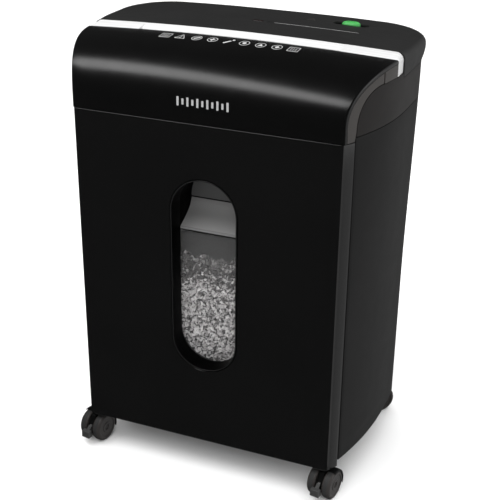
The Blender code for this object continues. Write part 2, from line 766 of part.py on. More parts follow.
def capsule(x, y, half_length, half_height, steps=6):
    """Flat slot with round ends, as (across, depth) points."""
    straight = half_length - half_height
    points = []
    for k in range(steps + 1):
        angle = -math.pi / 2 + math.pi * k / steps
        points.append((x + straight + half_height * math.cos(angle), y + half_height * math.sin(angle)))
    for k in range(steps + 1):
        angle = math.pi / 2 + math.pi * k / steps
        points.append((x - straight + half_height * math.cos(angle), y + half_height * math.sin(angle)))
    return points


def make_controls():
    surface = lid_height(SWITCH_X)
    dish = prism(capsule(SWITCH_X, SWITCH_Y, 0.0202, 0.0059), "Z", surface - 0.0100, surface - 0.0030)
    bezel = put("switch_bezel", dish, SATIN_BLACK)
    cut(bezel, prism(capsule(SWITCH_X, SWITCH_Y, 0.0120, 0.0022), "Z", surface - 0.020, surface))
    knob_levels = [(-0.0026, 0.0102, 0.0055), (0.0002, 0.0102, 0.0055), (0.0013, 0.0095, 0.0049)]
    knob_levels += [(0.0023, 0.0078, 0.0037), (0.0028, 0.0055, 0.0023)]
    outlines = [(z, capsule(SWITCH_X, SWITCH_Y, long, wide, 5)) for z, long, wide in knob_levels]
    knob = stacked([[(x, y, surface + z) for x, y in outline] for z, outline in outlines])
    switch = put("slide_switch", knob, SWITCH_GREEN, (SWITCH_X, SWITCH_Y, surface))
    join(switch, box((SWITCH_X - 0.004, SWITCH_Y - 0.0016, surface - 0.0105),
                     (SWITCH_X + 0.004, SWITCH_Y + 0.0016, surface - 0.0020)))
    body_top = surface - 0.0108
    put("switch_body", box((SWITCH_X - 0.016, SWITCH_Y - 0.006, body_top - 0.013),
                           (SWITCH_X + 0.016, SWITCH_Y + 0.006, body_top)), SATIN_BLACK, smooth=0)
    top = lid_height(LENS_X)
    lens = prism(capsule(LENS_X, LENS_Y, 0.0067, 0.0023), "Z", top - 0.0080, top - 0.0002)
    put("indicator_lens", lens, DARK_LENS)
    board = box((-0.0100, 0.2030, 0.4300), (0.1050, 0.2046, 0.4680))
    put("control_board", board, BOARD_GREEN, smooth=0)
    put("board_capacitor", lathe([(0.1850, 0), (0.1850, 0.0060), (0.2026, 0.0060), (0.2026, 0)],
                                 "Y", (0.0800, 0.4480), 14), SATIN_BLACK)


# ---------------------------------------------------------------- paper and card guides
def guide_rings(levels, half):
    """Rings of a flat funnel. Each level is (height, middle depth, half gap)."""
    made = []
    for height, middle, gap in levels:
        made.append([
            (half[1], middle - gap, height),
            (half[1], middle + gap, height),
            (half[0], middle + gap, height),
            (half[0], middle - gap, height),
        ])
    return made


def make_guides():
    throat = THROAT_HALF
    levels = [(0.4720, 0.0870, 0.0028), (0.4620, 0.0890, 0.0030), (0.4490, 0.1060, 0.0050)]
    outer = guide_rings([(z, y, g + 0.0013) for z, y, g in levels], (-throat - 0.0013, throat + 0.0013))
    inner = guide_rings(levels, (-throat, throat))
    guide = put("paper_guide", tube(outer, inner), SATIN_BLACK, smooth=20)
    cut(guide, box((-0.0030, 0.0885, 0.4590), (0.0030, 0.0960, 0.4698)))

    card_levels = [(0.4835, CARD_DEPTH, 0.0018), (0.4760, CARD_DEPTH - 0.003, 0.0018), (0.4490, 0.1170, 0.0024)]
    outer = guide_rings([(z, y, g + 0.0012) for z, y, g in card_levels], (CARD_FROM - 0.0012, CARD_TO + 0.0012))
    inner = guide_rings(card_levels, (CARD_FROM, CARD_TO))
    chute = put("card_chute", tube(outer, inner), SATIN_BLACK, smooth=20)
    cut(chute, box((PLATE_INNER - 0.0008, 0.100, 0.430), (0.1250, 0.1560, 0.4510)))

    pivot = (0.0, SENSOR_PIVOT[0], SENSOR_PIVOT[1])
    arm = [(0.0985, 0.4660), (0.0985, 0.4695), (0.0960, 0.4698), (0.0866, 0.4662), (0.0866, 0.4645), (0.0950, 0.4655)]
    put("paper_sensor_lever", prism(arm, "X", -0.0018, 0.0018), GEAR_WHITE, pivot)


SENSOR_PIVOT = (0.0970, 0.4680)


# ---------------------------------------------------------------- cutter block
FRONT_AXIS = (NIP_DEPTH - SHAFT_SPACING / 2, CUTTER_HEIGHT)
REAR_AXIS = (NIP_DEPTH + SHAFT_SPACING / 2, CUTTER_HEIGHT)
SYNC_TEETH = 20
SYNC_MODULE = 0.0015
DRIVE_TEETH = 24
SMALL_TEETH = 12
DRIVE_MODULE = 0.00125
BIG_TEETH = 42
PINION_TEETH = 14
FAST_MODULE = 0.0010


def away(point, distance, degrees):
    angle = math.radians(degrees)
    return (point[0] + distance * math.cos(angle), point[1] + distance * math.sin(angle))


COUNTER_LEAN = 35.0
MOTOR_LEAN = 20.0
COUNTER_AXIS = away(REAR_AXIS, (DRIVE_TEETH + SMALL_TEETH) * DRIVE_MODULE / 2, COUNTER_LEAN)
MOTOR_AXIS = away(COUNTER_AXIS, (BIG_TEETH + PINION_TEETH) * FAST_MODULE / 2, MOTOR_LEAN)


def gear_outline(teeth, module, centre, facing, tooth_there):
    """Spur gear outline. A tooth, or a gap, faces the given direction in degrees."""
    pitch_radius = teeth * module / 2
    tip = pitch_radius + 0.80 * module
    root = pitch_radius - 1.10 * module
    step = 2 * math.pi / teeth
    start = math.radians(facing) + (0.0 if tooth_there else step / 2)
    points = []
    for k in range(teeth):
        middle = start + k * step
        for share, radius in ((-0.29, root), (-0.13, tip), (0.13, tip), (0.29, root)):
            angle = middle + share * step
            points.append((centre[0] + radius * math.cos(angle), centre[1] + radius * math.sin(angle)))
    return points


def cutter_profile(left_end, right_end, offset):
    """Profile of a shaft with its row of cutting discs, as (across, radius) points."""
    points = [(left_end, 0.0), (left_end, JOURNAL), (-PLATE_INNER + 0.001, JOURNAL), (-PLATE_INNER + 0.001, DISC_CORE)]
    count = 6
    first = -count * DISC_PITCH + offset
    while first <= count * DISC_PITCH + 1e-6:
        low = first - DISC_WIDTH / 2
        high = first + DISC_WIDTH / 2
        points += [(low, DISC_CORE), (low, DISC_RADIUS), (high, DISC_RADIUS), (high, DISC_CORE)]
        first += DISC_PITCH
    points += [(PLATE_INNER - 0.001, DISC_CORE), (PLATE_INNER - 0.001, JOURNAL), (right_end, JOURNAL), (right_end, 0.0)]
    return points


def make_cutters():
    rear = lathe(cutter_profile(-0.1268, 0.1280, 0.0), "X", REAR_AXIS, 12)
    put("cutter_shaft_rear", rear, STEEL, (0, *REAR_AXIS), smooth=40)
    front = lathe(cutter_profile(-0.1195, 0.1280, DISC_PITCH / 2), "X", FRONT_AXIS, 12)
    put("cutter_shaft_front", front, STEEL, (0, *FRONT_AXIS), smooth=40)

    plan = [(0.0760, TRAY_TOP + GAP), (0.1920, TRAY_TOP + GAP), (0.1920, 0.4660), (0.1480, 0.4660), (0.1400, 0.4480),
            (0.0760, 0.4480)]
    left = put("side_plate_left", prism(plan, "X", -PLATE_OUTER, -PLATE_INNER), STEEL, smooth=0)
    short = [(0.0760, TRAY_TOP + GAP), (0.1480, TRAY_TOP + GAP), (0.1480, 0.4480), (0.0760, 0.4480)]
    right = put("side_plate_right", prism(short, "X", PLATE_INNER, PLATE_OUTER), STEEL, smooth=0)
    for plate, low, high in ((left, -0.130, -0.110), (right, 0.110, 0.130)):
        for axis in (FRONT_AXIS, REAR_AXIS):
            cut(plate, prism(circle(0.0084, axis), "X", low, high))
    cut(left, prism(circle(0.0040, COUNTER_AXIS), "X", -0.130, -0.110))
    cut(left, prism(circle(0.0060, MOTOR_AXIS), "X", -0.130, -0.110))
    for side, plate_side in (("left", -1), ("right", 1)):
        for where, axis in (("front", FRONT_AXIS), ("rear", REAR_AXIS)):
            inner_face = plate_side * (PLATE_INNER - 0.0006)
            outer_face = plate_side * (PLATE_OUTER + 0.0010)
            bush = ring(min(inner_face, outer_face), max(inner_face, outer_face), 0.0080, 0.0053, "X", axis, 16)
            put(f"bushing_{where}_{side}", bush, BRONZE)

    reach = PLATE_INNER - 0.0003
    put("stripper_front", box((-reach, 0.0772, 0.4170), (reach, 0.0786, 0.4420)), STEEL, smooth=0)
    put("stripper_rear", box((-reach, 0.1454, 0.4170), (reach, 0.1468, 0.4420)), STEEL, smooth=0)
    rod = [(-reach, 0), (-reach, 0.0028), (reach, 0.0028), (reach, 0)]
    put("tie_rod", lathe(rod, "X", (0.0825, 0.4452), 10), STEEL)


def make_gears():
    meshing = 0.0
    for name, axis, facing, tooth in (
        ("sync_gear_front", FRONT_AXIS, meshing, True),
        ("sync_gear_rear", REAR_AXIS, meshing + 180.0, False),
    ):
        outline = gear_outline(SYNC_TEETH, SYNC_MODULE, axis, facing, tooth)
        gear = put(name, prism(outline, "X", 0.1205, 0.1270), STEEL, (0, *axis), smooth=0)
        cut(gear, prism(circle(JOURNAL + 0.0003, axis), "X", 0.115, 0.130))

    outline = gear_outline(DRIVE_TEETH, DRIVE_MODULE, REAR_AXIS, COUNTER_LEAN, True)
    drive = put("drive_gear", prism(outline, "X", -0.1265, -0.1205), STEEL, (0, *REAR_AXIS), smooth=0)
    cut(drive, prism(circle(JOURNAL + 0.0003, REAR_AXIS), "X", -0.140, -0.120))

    outline = gear_outline(BIG_TEETH, FAST_MODULE, COUNTER_AXIS, MOTOR_LEAN, True)
    counter = put("reduction_gear", prism(outline, "X", -0.1345, -0.1285), GEAR_WHITE, (0, *COUNTER_AXIS), smooth=0)
    small = gear_outline(SMALL_TEETH, DRIVE_MODULE, COUNTER_AXIS, COUNTER_LEAN + 180.0, False)
    join(counter, prism(small, "X", -0.1300, -0.1205))
    join(counter, prism(circle(0.0035, COUNTER_AXIS, 12), "X", -0.1370, -0.1158))

    outline = gear_outline(PINION_TEETH, FAST_MODULE, MOTOR_AXIS, MOTOR_LEAN + 180.0, False)
    pinion = put("motor_pinion", prism(outline, "X", -0.1345, -0.1285), STEEL, (0, *MOTOR_AXIS), smooth=0)
    join(pinion, prism(circle(0.0030, MOTOR_AXIS, 12), "X", -0.1300, -0.1126))


def make_motor():
    body = [(-0.1120, 0), (-0.1120, 0.0120), (-0.1080, 0.0120), (-0.1080, 0.0225), (-0.0240, 0.0225),
            (-0.0240, 0.0150), (-0.0160, 0.0150), (-0.0160, 0)]
    put("motor", lathe(body, "X", MOTOR_AXIS, 20), STEEL)
    cradle = box((-0.1000, 0.1560, TRAY_TOP + GAP), (-0.0300, 0.1860, 0.4300))
    saddle = put("motor_cradle", cradle, SATIN_BLACK, smooth=0)
    cut(saddle, lathe([(-0.120, 0), (-0.120, 0.0230), (-0.010, 0.0230), (-0.010, 0)], "X", MOTOR_AXIS, 32))


def make_tray():
    inset = WALL + GAP
    plan = wall_path(0.0180, TRAY_UNDER, inset)
    tray = put("head_tray", prism(plan, "Z", TRAY_UNDER, TRAY_TOP), SATIN_BLACK, smooth=0)
    cut(tray, box((-0.1125, 0.0800, 0.400), (0.1125, 0.1440, 0.420)))


def make_interlock():
    x = 0.1150
    z = 0.3300
    switch_rear = CABINET_REAR - WALL - GAP
    body = box((x - 0.010, 0.2000, z - 0.006), (x + 0.010, switch_rear, z + 0.006))
    switch = put("interlock_switch", body, SATIN_BLACK, smooth=0)
    cut(switch, prism(circle(0.0024, (x, z), 12), "Y", 0.190, 0.2080))
    pin = [(0.1898, 0), (0.1898, 0.0014), (0.1906, 0.0020), (0.2045, 0.0020), (0.2045, 0)]
    put("interlock_plunger", lathe(pin, "Y", (x, z), 12), GEAR_WHITE, (x, 0.1898, z))


# ---------------------------------------------------------------- casters
def make_caster(label, place, turn, brake):
    """Twin-wheel caster. The empty is on the swivel axis at the floor, and the wheels trail along its +Y."""
    swivel = empty(f"swivel_{label}", DATUM, (*place, 0.0), turn)
    axle = (CASTER_TRAIL, WHEEL_RADIUS)
    web = [away(axle, 0.0179, a) for a in range(60, 191, 10)]
    web += [away(axle, 0.0145, a) for a in range(200, 411, 15)]
    housing = put(f"caster_housing_{label}", prism(web, "X", -0.0034, 0.0034), NYLON, parent=swivel)
    fender = [away(axle, 0.0183, a) for a in range(80, 201, 8)]
    fender += [away(axle, 0.0175, a) for a in range(200, 79, -8)]
    join(housing, prism(fender, "X", -0.0145, 0.0145))
    neck = [(-0.0040, 0.0350), (-0.0062, 0.0240), (0.0040, 0.0220), (0.0060, 0.0345)]
    join(housing, prism(neck, "X", -0.0032, 0.0032))
    join(housing, prism(circle(0.0040, (0.0, 0.0), 14), "Z", 0.0330, 0.0500))
    cut(housing, prism(circle(0.0029, axle, 14), "X", -0.010, 0.010))
    half = 0.0143
    inner = 0.0040
    rim = WHEEL_RADIUS / math.cos(math.pi / WHEEL_SIDES)  # so that a flat of the tread meets the floor
    profile = [(-half, 0), (-half, 0.0115), (-half + 0.0010, rim - 0.0010), (-half + 0.0022, rim), (-inner, rim),
               (-inner, 0.0024), (inner, 0.0024), (inner, rim), (half - 0.0022, rim), (half - 0.0010, rim - 0.0010),
               (half, 0.0115), (half, 0)]
    put(f"caster_wheels_{label}", lathe(profile, "X", axle, WHEEL_SIDES, math.pi / WHEEL_SIDES), NYLON,
        (0, *axle), swivel)
    if brake:
        hinge = away(axle, 0.0112, 20)
        slot = [(axle[0] + 0.0075, 0.0080), (axle[0] + 0.0200, 0.0080), (axle[0] + 0.0200, 0.0262),
                (axle[0] + 0.0075, 0.0262)]
        cut(housing, prism(slot, "X", -0.0020, 0.0020))
        join(housing, prism(circle(0.0011, hinge, 10), "X", -0.0030, 0.0030))
        lever = [
            away(hinge, 0.0026, 30),
            away(hinge, 0.0026, 80),
            away(hinge, 0.0026, 130),
            away(hinge, 0.0026, 180),
            away(hinge, 0.0026, 230),
            (axle[0] + 0.0190, 0.0118),
            (axle[0] + 0.0220, 0.0175),
        ]
        tab = put(f"caster_brake_{label}", prism(lever, "X", -0.0016, 0.0016), NYLON, (0, *hinge), swivel, 0)
        cut(tab, prism(circle(0.0014, hinge, 10), "X", -0.005, 0.005))
        pedal = [
            (axle[0] + 0.0180, 0.0108),
            (axle[0] + 0.0184, 0.0192),
            (axle[0] + 0.0236, 0.0186),
            (axle[0] + 0.0240, 0.0104),
        ]
        join(tab, prism(pedal, "X", -0.0055, 0.0055))


def make_casters():
    front_turn = math.radians(170.0)
    rear_turn = math.radians(-48.0)
    x, y = CASTER_FRONT
    make_caster("front_right", (x, y), front_turn, True)
    make_caster("front_left", (-x, y), front_turn, True)
    x, y = CASTER_REAR
    make_caster("rear_right", (x, y), rear_turn, False)
    make_caster("rear_left", (-x, y), rear_turn, False)


def make_screws():
    """Casing screws up through the base plate's underside."""
    spots = ((0.1200, 0.0600), (-0.1200, 0.0600), (0.1200, 0.1550), (-0.1200, 0.1550))
    for count, (x, y) in enumerate(spots, 1):
        head = CABINET_BOTTOM - 0.0002 - 0.0016
        profile = [(head, 0), (head, 0.0028), (head + 0.0014, 0.0032), (head + 0.0015, 0)]
        put(f"base_screw_{count}", lathe(profile, "Z", (x, y), 12), STEEL)


make_cabinet()
make_base()
make_bin()
make_hood()
make_trim()
make_shoulders()
make_skirt()
make_cord_inlet()
make_lid()
make_controls()
make_guides()
make_cutters()
make_gears()
make_motor()
make_tray()
make_interlock()
make_casters()
make_screws()
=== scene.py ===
"""Looks of a paper shredder on casters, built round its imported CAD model.

Lengths are in metres, in the CAD's frame: +X right of someone facing the front, +Y back, +Z up.
Depths are measured back from the flat front face.
"""

import json
import math
import random

import bmesh
import bpy
from mathutils import Matrix, Vector


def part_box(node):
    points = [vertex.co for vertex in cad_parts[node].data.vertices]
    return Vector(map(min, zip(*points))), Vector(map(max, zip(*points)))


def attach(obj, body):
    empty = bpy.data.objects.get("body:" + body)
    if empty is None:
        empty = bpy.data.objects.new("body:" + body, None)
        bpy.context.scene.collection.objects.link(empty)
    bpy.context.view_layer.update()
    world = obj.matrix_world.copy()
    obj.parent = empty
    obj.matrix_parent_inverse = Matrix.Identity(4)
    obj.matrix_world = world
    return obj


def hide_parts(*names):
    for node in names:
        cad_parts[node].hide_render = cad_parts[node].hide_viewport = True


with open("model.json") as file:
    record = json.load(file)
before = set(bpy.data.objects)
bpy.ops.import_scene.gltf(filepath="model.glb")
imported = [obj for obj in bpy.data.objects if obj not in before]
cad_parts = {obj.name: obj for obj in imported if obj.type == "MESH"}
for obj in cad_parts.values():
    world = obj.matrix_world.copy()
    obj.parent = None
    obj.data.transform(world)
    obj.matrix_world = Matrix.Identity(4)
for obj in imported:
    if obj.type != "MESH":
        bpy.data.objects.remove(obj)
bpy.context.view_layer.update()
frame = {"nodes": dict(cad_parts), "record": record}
NODES = frame["nodes"]
CABINET = "cabinet"
BIN = "bin"

# ---------------------------------------------------------------- places read from the CAD
FRONT_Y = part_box("bin_front_panel")[0][1]
PANEL_LOW, PANEL_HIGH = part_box("bin_front_panel")
HOOD_LOW, HOOD_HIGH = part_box("front_hood")
TRIM_LOW, TRIM_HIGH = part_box("silver_trim")
LID_LOW, LID_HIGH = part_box("top_cover")
CABINET_LOW, CABINET_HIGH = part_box("cabinet_shell")
SKIRT_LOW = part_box("head_skirt")[0]
WINDOW_LOW, WINDOW_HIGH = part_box("window_frame")
PANE_LOW, PANE_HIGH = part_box("window_pane")
TUB_LOW, TUB_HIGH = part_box("bin_tub")

FRONT_HALF = 0.1465
FLANGE_DEPTH = PANEL_HIGH[1] - FRONT_Y
FLANGE_HALF = PANEL_HIGH[0]
WIDEST_DEPTH = 0.1320
CABINET_REAR = CABINET_HIGH[1] - FRONT_Y
REAR_CORNER = 0.0500
FLARE_FROM = 0.2000
FLARE_TO = 0.4600
# Half width at its widest, the loss towards the front, the run of that loss, and the power of its curve.
FOOT_PLAN = (0.1726, 0.0181, 0.1190, 2)
HEAD_PLAN = (0.1763, 0.0204, 0.1140, 2.4)
WALL = 0.0024

SEAM = HOOD_LOW[2]
HOOD_RUN = 0.0800
HOOD_REAR = HOOD_HIGH[1] - FRONT_Y
HOOD_SPRING = 0.4326
HOOD_RISE = 0.0480
HOOD_POWER = 2.2
CROWN = 0.0045
FLANGE_END_ANGLE = 73.1  # where along the hood's curve its side flange stops
FLANGE_SPRING = (0.0150, 0.4240)
FLANGE_RUN = 0.0390
FLANGE_RISE = 0.0402
FLANGE_POWER = 2.3
FLANGE_ENDS = FLANGE_SPRING[0] + FLANGE_RUN
TRIM_FRONT = TRIM_LOW[1] - FRONT_Y
TRIM_REAR = TRIM_HIGH[1] - FRONT_Y
TRIM_DROP = TRIM_LOW[2]
THROAT_HALF = 0.1120
THROAT_REAR = 0.0896
BAND_DROP = 0.0012
LID_TOP = LID_HIGH[2]
LID_REAR = LID_HIGH[1] - FRONT_Y
LID_HALF = LID_HIGH[0]
LID_UNDER = LID_LOW[2]

WINDOW_WALL = 0.0022
WINDOW_HALF = WINDOW_HIGH[0] - WINDOW_WALL
WINDOW_BOTTOM = WINDOW_LOW[2] + WINDOW_WALL
WINDOW_TOP = WINDOW_HIGH[2] - WINDOW_WALL
WINDOW_DEPTH = 0.0200
POCKET_DEPTH = WINDOW_HIGH[1] - FRONT_Y - WINDOW_WALL
LEDGE_FRONT = 0.2925
LEDGE_KNEE = (0.0437, 0.3045)
LEDGE_BACK = 0.3157
LEDGE_UNDER = PANE_HIGH[2] + 0.0004

BEAD_WIDTH = 0.0010
CARD_DEPTH = 0.1535
WHEEL_RADIUS = 0.0170
WHEELS_HALF = 0.0143
FENDER_FROM = 80
FENDER_RADIUS = 0.0184
STEM = (0.0, -0.0120)  # where a caster's stem stands, from its wheels' axle
TREAD_PROUD = 0.00012
FRONT_TURN = math.radians(170.0)
REAR_TURN = math.radians(-48.0)

HOOD_WALL = 0.0020
HOOD_EDGE = 0.0016
HOOD_EDGE_START = 0.0034
FLANGE_STEP = 0.0042
TRIM_WALL = 0.0018
TRIM_BENDS = (0.0045, 0.0080)
LID_ROUND = 0.0066
LID_MIDDLE = 0.1580
RIB_HALF = 0.1400
RIB_DEPTHS = (0.0034, 0.0160)
RIB_LEVELS = (0.0397, 0.0694)
SEAM_SHADOW_REACH = 0.0008
VENT_ROWS = 4
VENT_BAYS = 4

PRINT_ROW = 0.0680
PRINT_LINE = 0.0006
PRINT_PROUD = 0.00012
PRINT_DEPTH = 0.0003
PRINT_STRETCH = 1.35

TOP_CHIPS = 3000
PANE_CHIPS = 4300
CHIP_HALF = 0.00012
HEAP_LEVEL = 0.2520
HEAP_SLOPE = 0.62
HEAP_SAG = 0.030
HEAP_FADE = 0.036

MERGE = 0.000001
BRIGHT_SIDE = (0.848, 0.530, 0.0)  # the side of the room that polished surfaces see as pale

CAMERA_LENS = 77.30
CAMERA_SPOT = (0.4230, -0.9287, 0.7536)
CAMERA_TURN = math.radians(21.738)
CAMERA_DOWN = math.radians(24.925)
CAMERA_ROLL = math.radians(0.794)


# ---------------------------------------------------------------- materials
def add_node(tree, kind, inputs, **settings):
    """A new node with its settings, and with values for the inputs that are named or numbered."""
    made = tree.nodes.new(kind)
    for key, value in settings.items():
        setattr(made, key, value)
    for socket, value in inputs.items():
        made.inputs[socket].default_value = value
    return made


class Shader:
    """A Principled material whose textures stay with the object."""

    def __init__(self, name):
        self.material = bpy.data.materials.new(name)
        self.material.use_nodes = True
        self.tree = self.material.node_tree
        self.surface = self.tree.nodes["Principled BSDF"]
        self.place = self.tree.nodes.new("ShaderNodeTexCoord")

    def put(self, socket, value):
        self.surface.inputs[socket].default_value = value

    def link(self, source, target):
        self.tree.links.new(source, target)

    def noise(self, scale, detail, stretch=(1, 1, 1)):
        mapping = add_node(self.tree, "ShaderNodeMapping", {"Scale": stretch})
        self.link(self.place.outputs["Object"], mapping.inputs["Vector"])
        made = add_node(self.tree, "ShaderNodeTexNoise", {"Scale": scale, "Detail": detail})
        self.link(mapping.outputs["Vector"], made.inputs["Vector"])
        return made.outputs["Fac"]

    def rough(self, source, limits):
        """Spreads a texture's middle values over a range of roughness."""
        values = {"From Min": 0.3, "From Max": 0.7, "To Min": limits[0], "To Max": limits[1]}
        made = add_node(self.tree, "ShaderNodeMapRange", values)
        self.link(source, made.inputs["Value"])
        self.link(made.outputs["Result"], self.surface.inputs["Roughness"])

    def tint(self, source, dark, light, start=0.3, stop=0.7):
        made = add_node(self.tree, "ShaderNodeValToRGB", {})
        for element, place, colour in zip(made.color_ramp.elements, (start, stop), (dark, light)):
            element.position = place
            element.color = (*colour, 1.0)
        self.link(source, made.inputs["Fac"])
        self.link(made.outputs["Color"], self.surface.inputs["Base Color"])

    def bump(self, source, strength, distance):
        made = add_node(self.tree, "ShaderNodeBump", {"Strength": strength, "Distance": distance})
        self.link(source, made.inputs["Height"])
        self.link(made.outputs["Normal"], self.surface.inputs["Normal"])


def plastic(name, dark, light, rough, grain, depth, shine):
    """Moulded plastic: a fine grain, slightly uneven gloss and a faint cloudiness in its colour."""
    made = Shader(name)
    made.tint(made.noise(9.0, 4.0), dark, light)
    made.rough(made.noise(60.0, 5.0), rough)
    made.bump(made.noise(grain, 2.0), 0.35, depth)
    made.put("Specular IOR Level", shine)
    return made.material


def metal(name, dark, light, rough, stretch):
    """Metal with the fine lines of turning, rolling or brushing along one direction."""
    made = Shader(name)
    lines = made.noise(260.0, 4.0, stretch)
    made.tint(lines, dark, light)
    made.rough(lines, rough)
    made.bump(lines, 0.4, 0.00003)
    made.put("Metallic", 1.0)
    return made.material


def silver(name):
    """Silver film with lines along the strip."""
    made = Shader(name)
    lines = made.noise(420.0, 3.0, (0.02, 1.0, 1.0))
    made.tint(lines, grey(0.60), grey(0.69), 0.35, 0.65)
    made.rough(lines, (0.30, 0.40))
    made.bump(lines, 0.25, 0.00001)
    made.put("Metallic", 0.15)
    made.put("Specular IOR Level", 0.5)
    return made.material


def clear(name):
    """Clear plastic with a faint grey veil, and the slight waviness of a moulded sheet."""
    made = Shader(name)
    made.tint(made.noise(12.0, 2.0), grey(0.19), grey(0.21))
    made.rough(made.noise(30.0, 2.0), (0.03, 0.06))
    made.bump(made.noise(25.0, 1.0), 0.1, 0.00005)
    made.put("Alpha", 0.15)
    made.put("Specular IOR Level", 0.3)
    return made.material


def paper(name, dark, light):
    """Uncoated paper, with fibres and a slightly uneven white."""
    made = Shader(name)
    made.tint(made.noise(160.0, 2.0), dark, light, 0.35, 0.62)
    made.put("Roughness", 0.9)
    made.bump(made.noise(2500.0, 3.0), 0.4, 0.00004)
    return made.material


def grey(value):
    return (value, value, value)


# Dark and light colour, roughness, size and depth of the grain, shine.
PLASTICS = {
    "gloss_black": (grey(0.0014), grey(0.0022), (0.24, 0.27), 900.0, 0.000003, 0.5),
    "panel_black": (grey(0.0028), grey(0.0034), (0.15, 0.17), 900.0, 0.000002, 0.5),
    "satin_black": (grey(0.0072), grey(0.0078), (0.44, 0.47), 1500.0, 0.00002, 0.10),
    "skirt_black": ((0.0108, 0.0096, 0.0092), (0.0118, 0.0105, 0.0101), (0.40, 0.44), 1500.0, 0.00002, 0.13),
    "matte_black": (grey(0.0100), grey(0.0118), (0.55, 0.62), 1300.0, 0.00006, 0.5),
    # shoulder_grey: the side flanges' own paler grey, lifted further as a painted reflection of the light
    # from the right; the lid mark uses it as print
    "shoulder_grey": ((0.036, 0.033, 0.031), (0.042, 0.039, 0.037), (0.34, 0.40), 1500.0, 0.00002, 0.25),
    "switch_green": ((0.045, 0.30, 0.065), (0.06, 0.36, 0.085), (0.32, 0.40), 1400.0, 0.00002, 0.5),
    "caster_nylon": ((0.023, 0.0205, 0.0198), (0.029, 0.0262, 0.0252), (0.36, 0.46), 1500.0, 0.00003, 0.3),
    "pedal_grey": (grey(0.034), grey(0.044), (0.34, 0.42), 1500.0, 0.00003, 0.3),
    "caster_black": (grey(0.0025), grey(0.0035), (0.36, 0.44), 1500.0, 0.00002, 0.08),
    "caster_tread": (grey(0.018), grey(0.024), (0.55, 0.65), 700.0, 0.00008, 0.3),
    "gear_white": ((0.70, 0.69, 0.64), (0.78, 0.77, 0.73), (0.38, 0.48), 900.0, 0.00002, 0.5),
    "board_green": ((0.012, 0.12, 0.05), (0.02, 0.17, 0.07), (0.35, 0.45), 500.0, 0.00002, 0.5),
    "dark_lens": ((0.006, 0.003, 0.003), (0.012, 0.004, 0.004), (0.05, 0.08), 600.0, 0.000003, 0.5),
    "window_black": (grey(0.0008), grey(0.0012), (0.30, 0.40), 900.0, 0.000004, 0.02),
    "ledge_grey": (grey(0.185), (0.215, 0.21, 0.205), (0.34, 0.40), 900.0, 0.000006, 0.5),
    # bead_black is a little paler than the panel: a painted edge highlight round the window, besides the
    # bead's real glints
    "bead_black": (grey(0.009), grey(0.012), (0.18, 0.24), 900.0, 0.000004, 0.4),
    "lip_grey": (grey(0.13), grey(0.16), (0.40, 0.46), 900.0, 0.000006, 0.3),
    # pocket_grey is painted shade: the pocket's back wall under the arch, set darker than the ledge grey
    "pocket_grey": (grey(0.062), grey(0.076), (0.34, 0.40), 900.0, 0.000006, 0.4),
    # gap_shadow_black is painted shadow: a shineless near black that gives the dark lines of gaps, slots and
    # recesses
    "gap_shadow_black": (grey(0.0008), grey(0.0012), (0.8, 0.9), 900.0, 0.00001, 0.0),
    "print_white": (grey(0.44), grey(0.52), (0.45, 0.55), 1500.0, 0.000004, 0.4),
    # print_and_highlight_grey is the emblem's print, and also a painted highlight along the card slot's front
    # edge
    "print_and_highlight_grey": (grey(0.30), grey(0.36), (0.45, 0.55), 1500.0, 0.000004, 0.4),
}
# Dark and light colour, roughness, stretch of the lines.
METALS = {
    "steel": ((0.36, 0.36, 0.37), (0.52, 0.52, 0.53), (0.26, 0.38), (0.04, 1.0, 1.0)),
    "bronze": ((0.42, 0.27, 0.12), (0.55, 0.38, 0.18), (0.34, 0.46), (1.0, 1.0, 1.0)),
}
# paper_light is the paper's own white; paper_mid and paper_dark are the same paper with painted shade, and
# heap_shade is painted shadow between the chips.
PAPERS = {
    "paper_light": ((0.88, 0.86, 0.86), (0.97, 0.95, 0.95)),
    "paper_mid": ((0.46, 0.44, 0.44), (0.60, 0.58, 0.58)),
    "paper_dark": ((0.09, 0.084, 0.084), (0.15, 0.142, 0.142)),
    "heap_shade": ((0.014, 0.013, 0.013), (0.028, 0.026, 0.026)),
}
LOOKS = {name: plastic(f"{name}_look", *row) for name, row in PLASTICS.items()}
LOOKS |= {name: metal(f"{name}_look", *row) for name, row in METALS.items()}
LOOKS |= {"silver_paint": silver("silver_paint_look"), "smoked_clear": clear("smoked_clear_look")}
LOOKS |= {name: paper(f"{name}_look", *row) for name, row in PAPERS.items()}


# ---------------------------------------------------------------- mesh helpers
def add_object(name, builder):
    """An object from a bmesh, with its faces turned outwards."""
    bmesh.ops.recalc_face_normals(builder, faces=builder.faces)
    mesh = bpy.data.meshes.new(name)
    builder.to_mesh(mesh)
    builder.free()
    made = bpy.data.objects.new(name, mesh)
    bpy.context.scene.collection.objects.link(made)
    return made


def piece(name, builder, look, body, replaces=(), smooth=40.0):
    """Makes an object from a bmesh, gives it its look, and hangs it on a body."""
    made = add_object(name, builder)
    made.data.materials.append(LOOKS[look])
    made.data.shade_smooth()
    made.data.set_sharp_from_angle(angle=math.radians(smooth))
    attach(made, body)
    if replaces:
        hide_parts(*replaces)


def at(x, depth, z):
    return (x, FRONT_Y + depth, z)


def tube(rings):
    """Quads between rings of points."""
    made = bmesh.new()
    points = [[made.verts.new(p) for p in ring] for ring in rings]
    across = len(rings[0])
    for one, two in zip(points, points[1:]):
        for c in range(across):
            n = (c + 1) % across
            made.faces.new((one[c], one[n], two[n], two[c]))
    return made


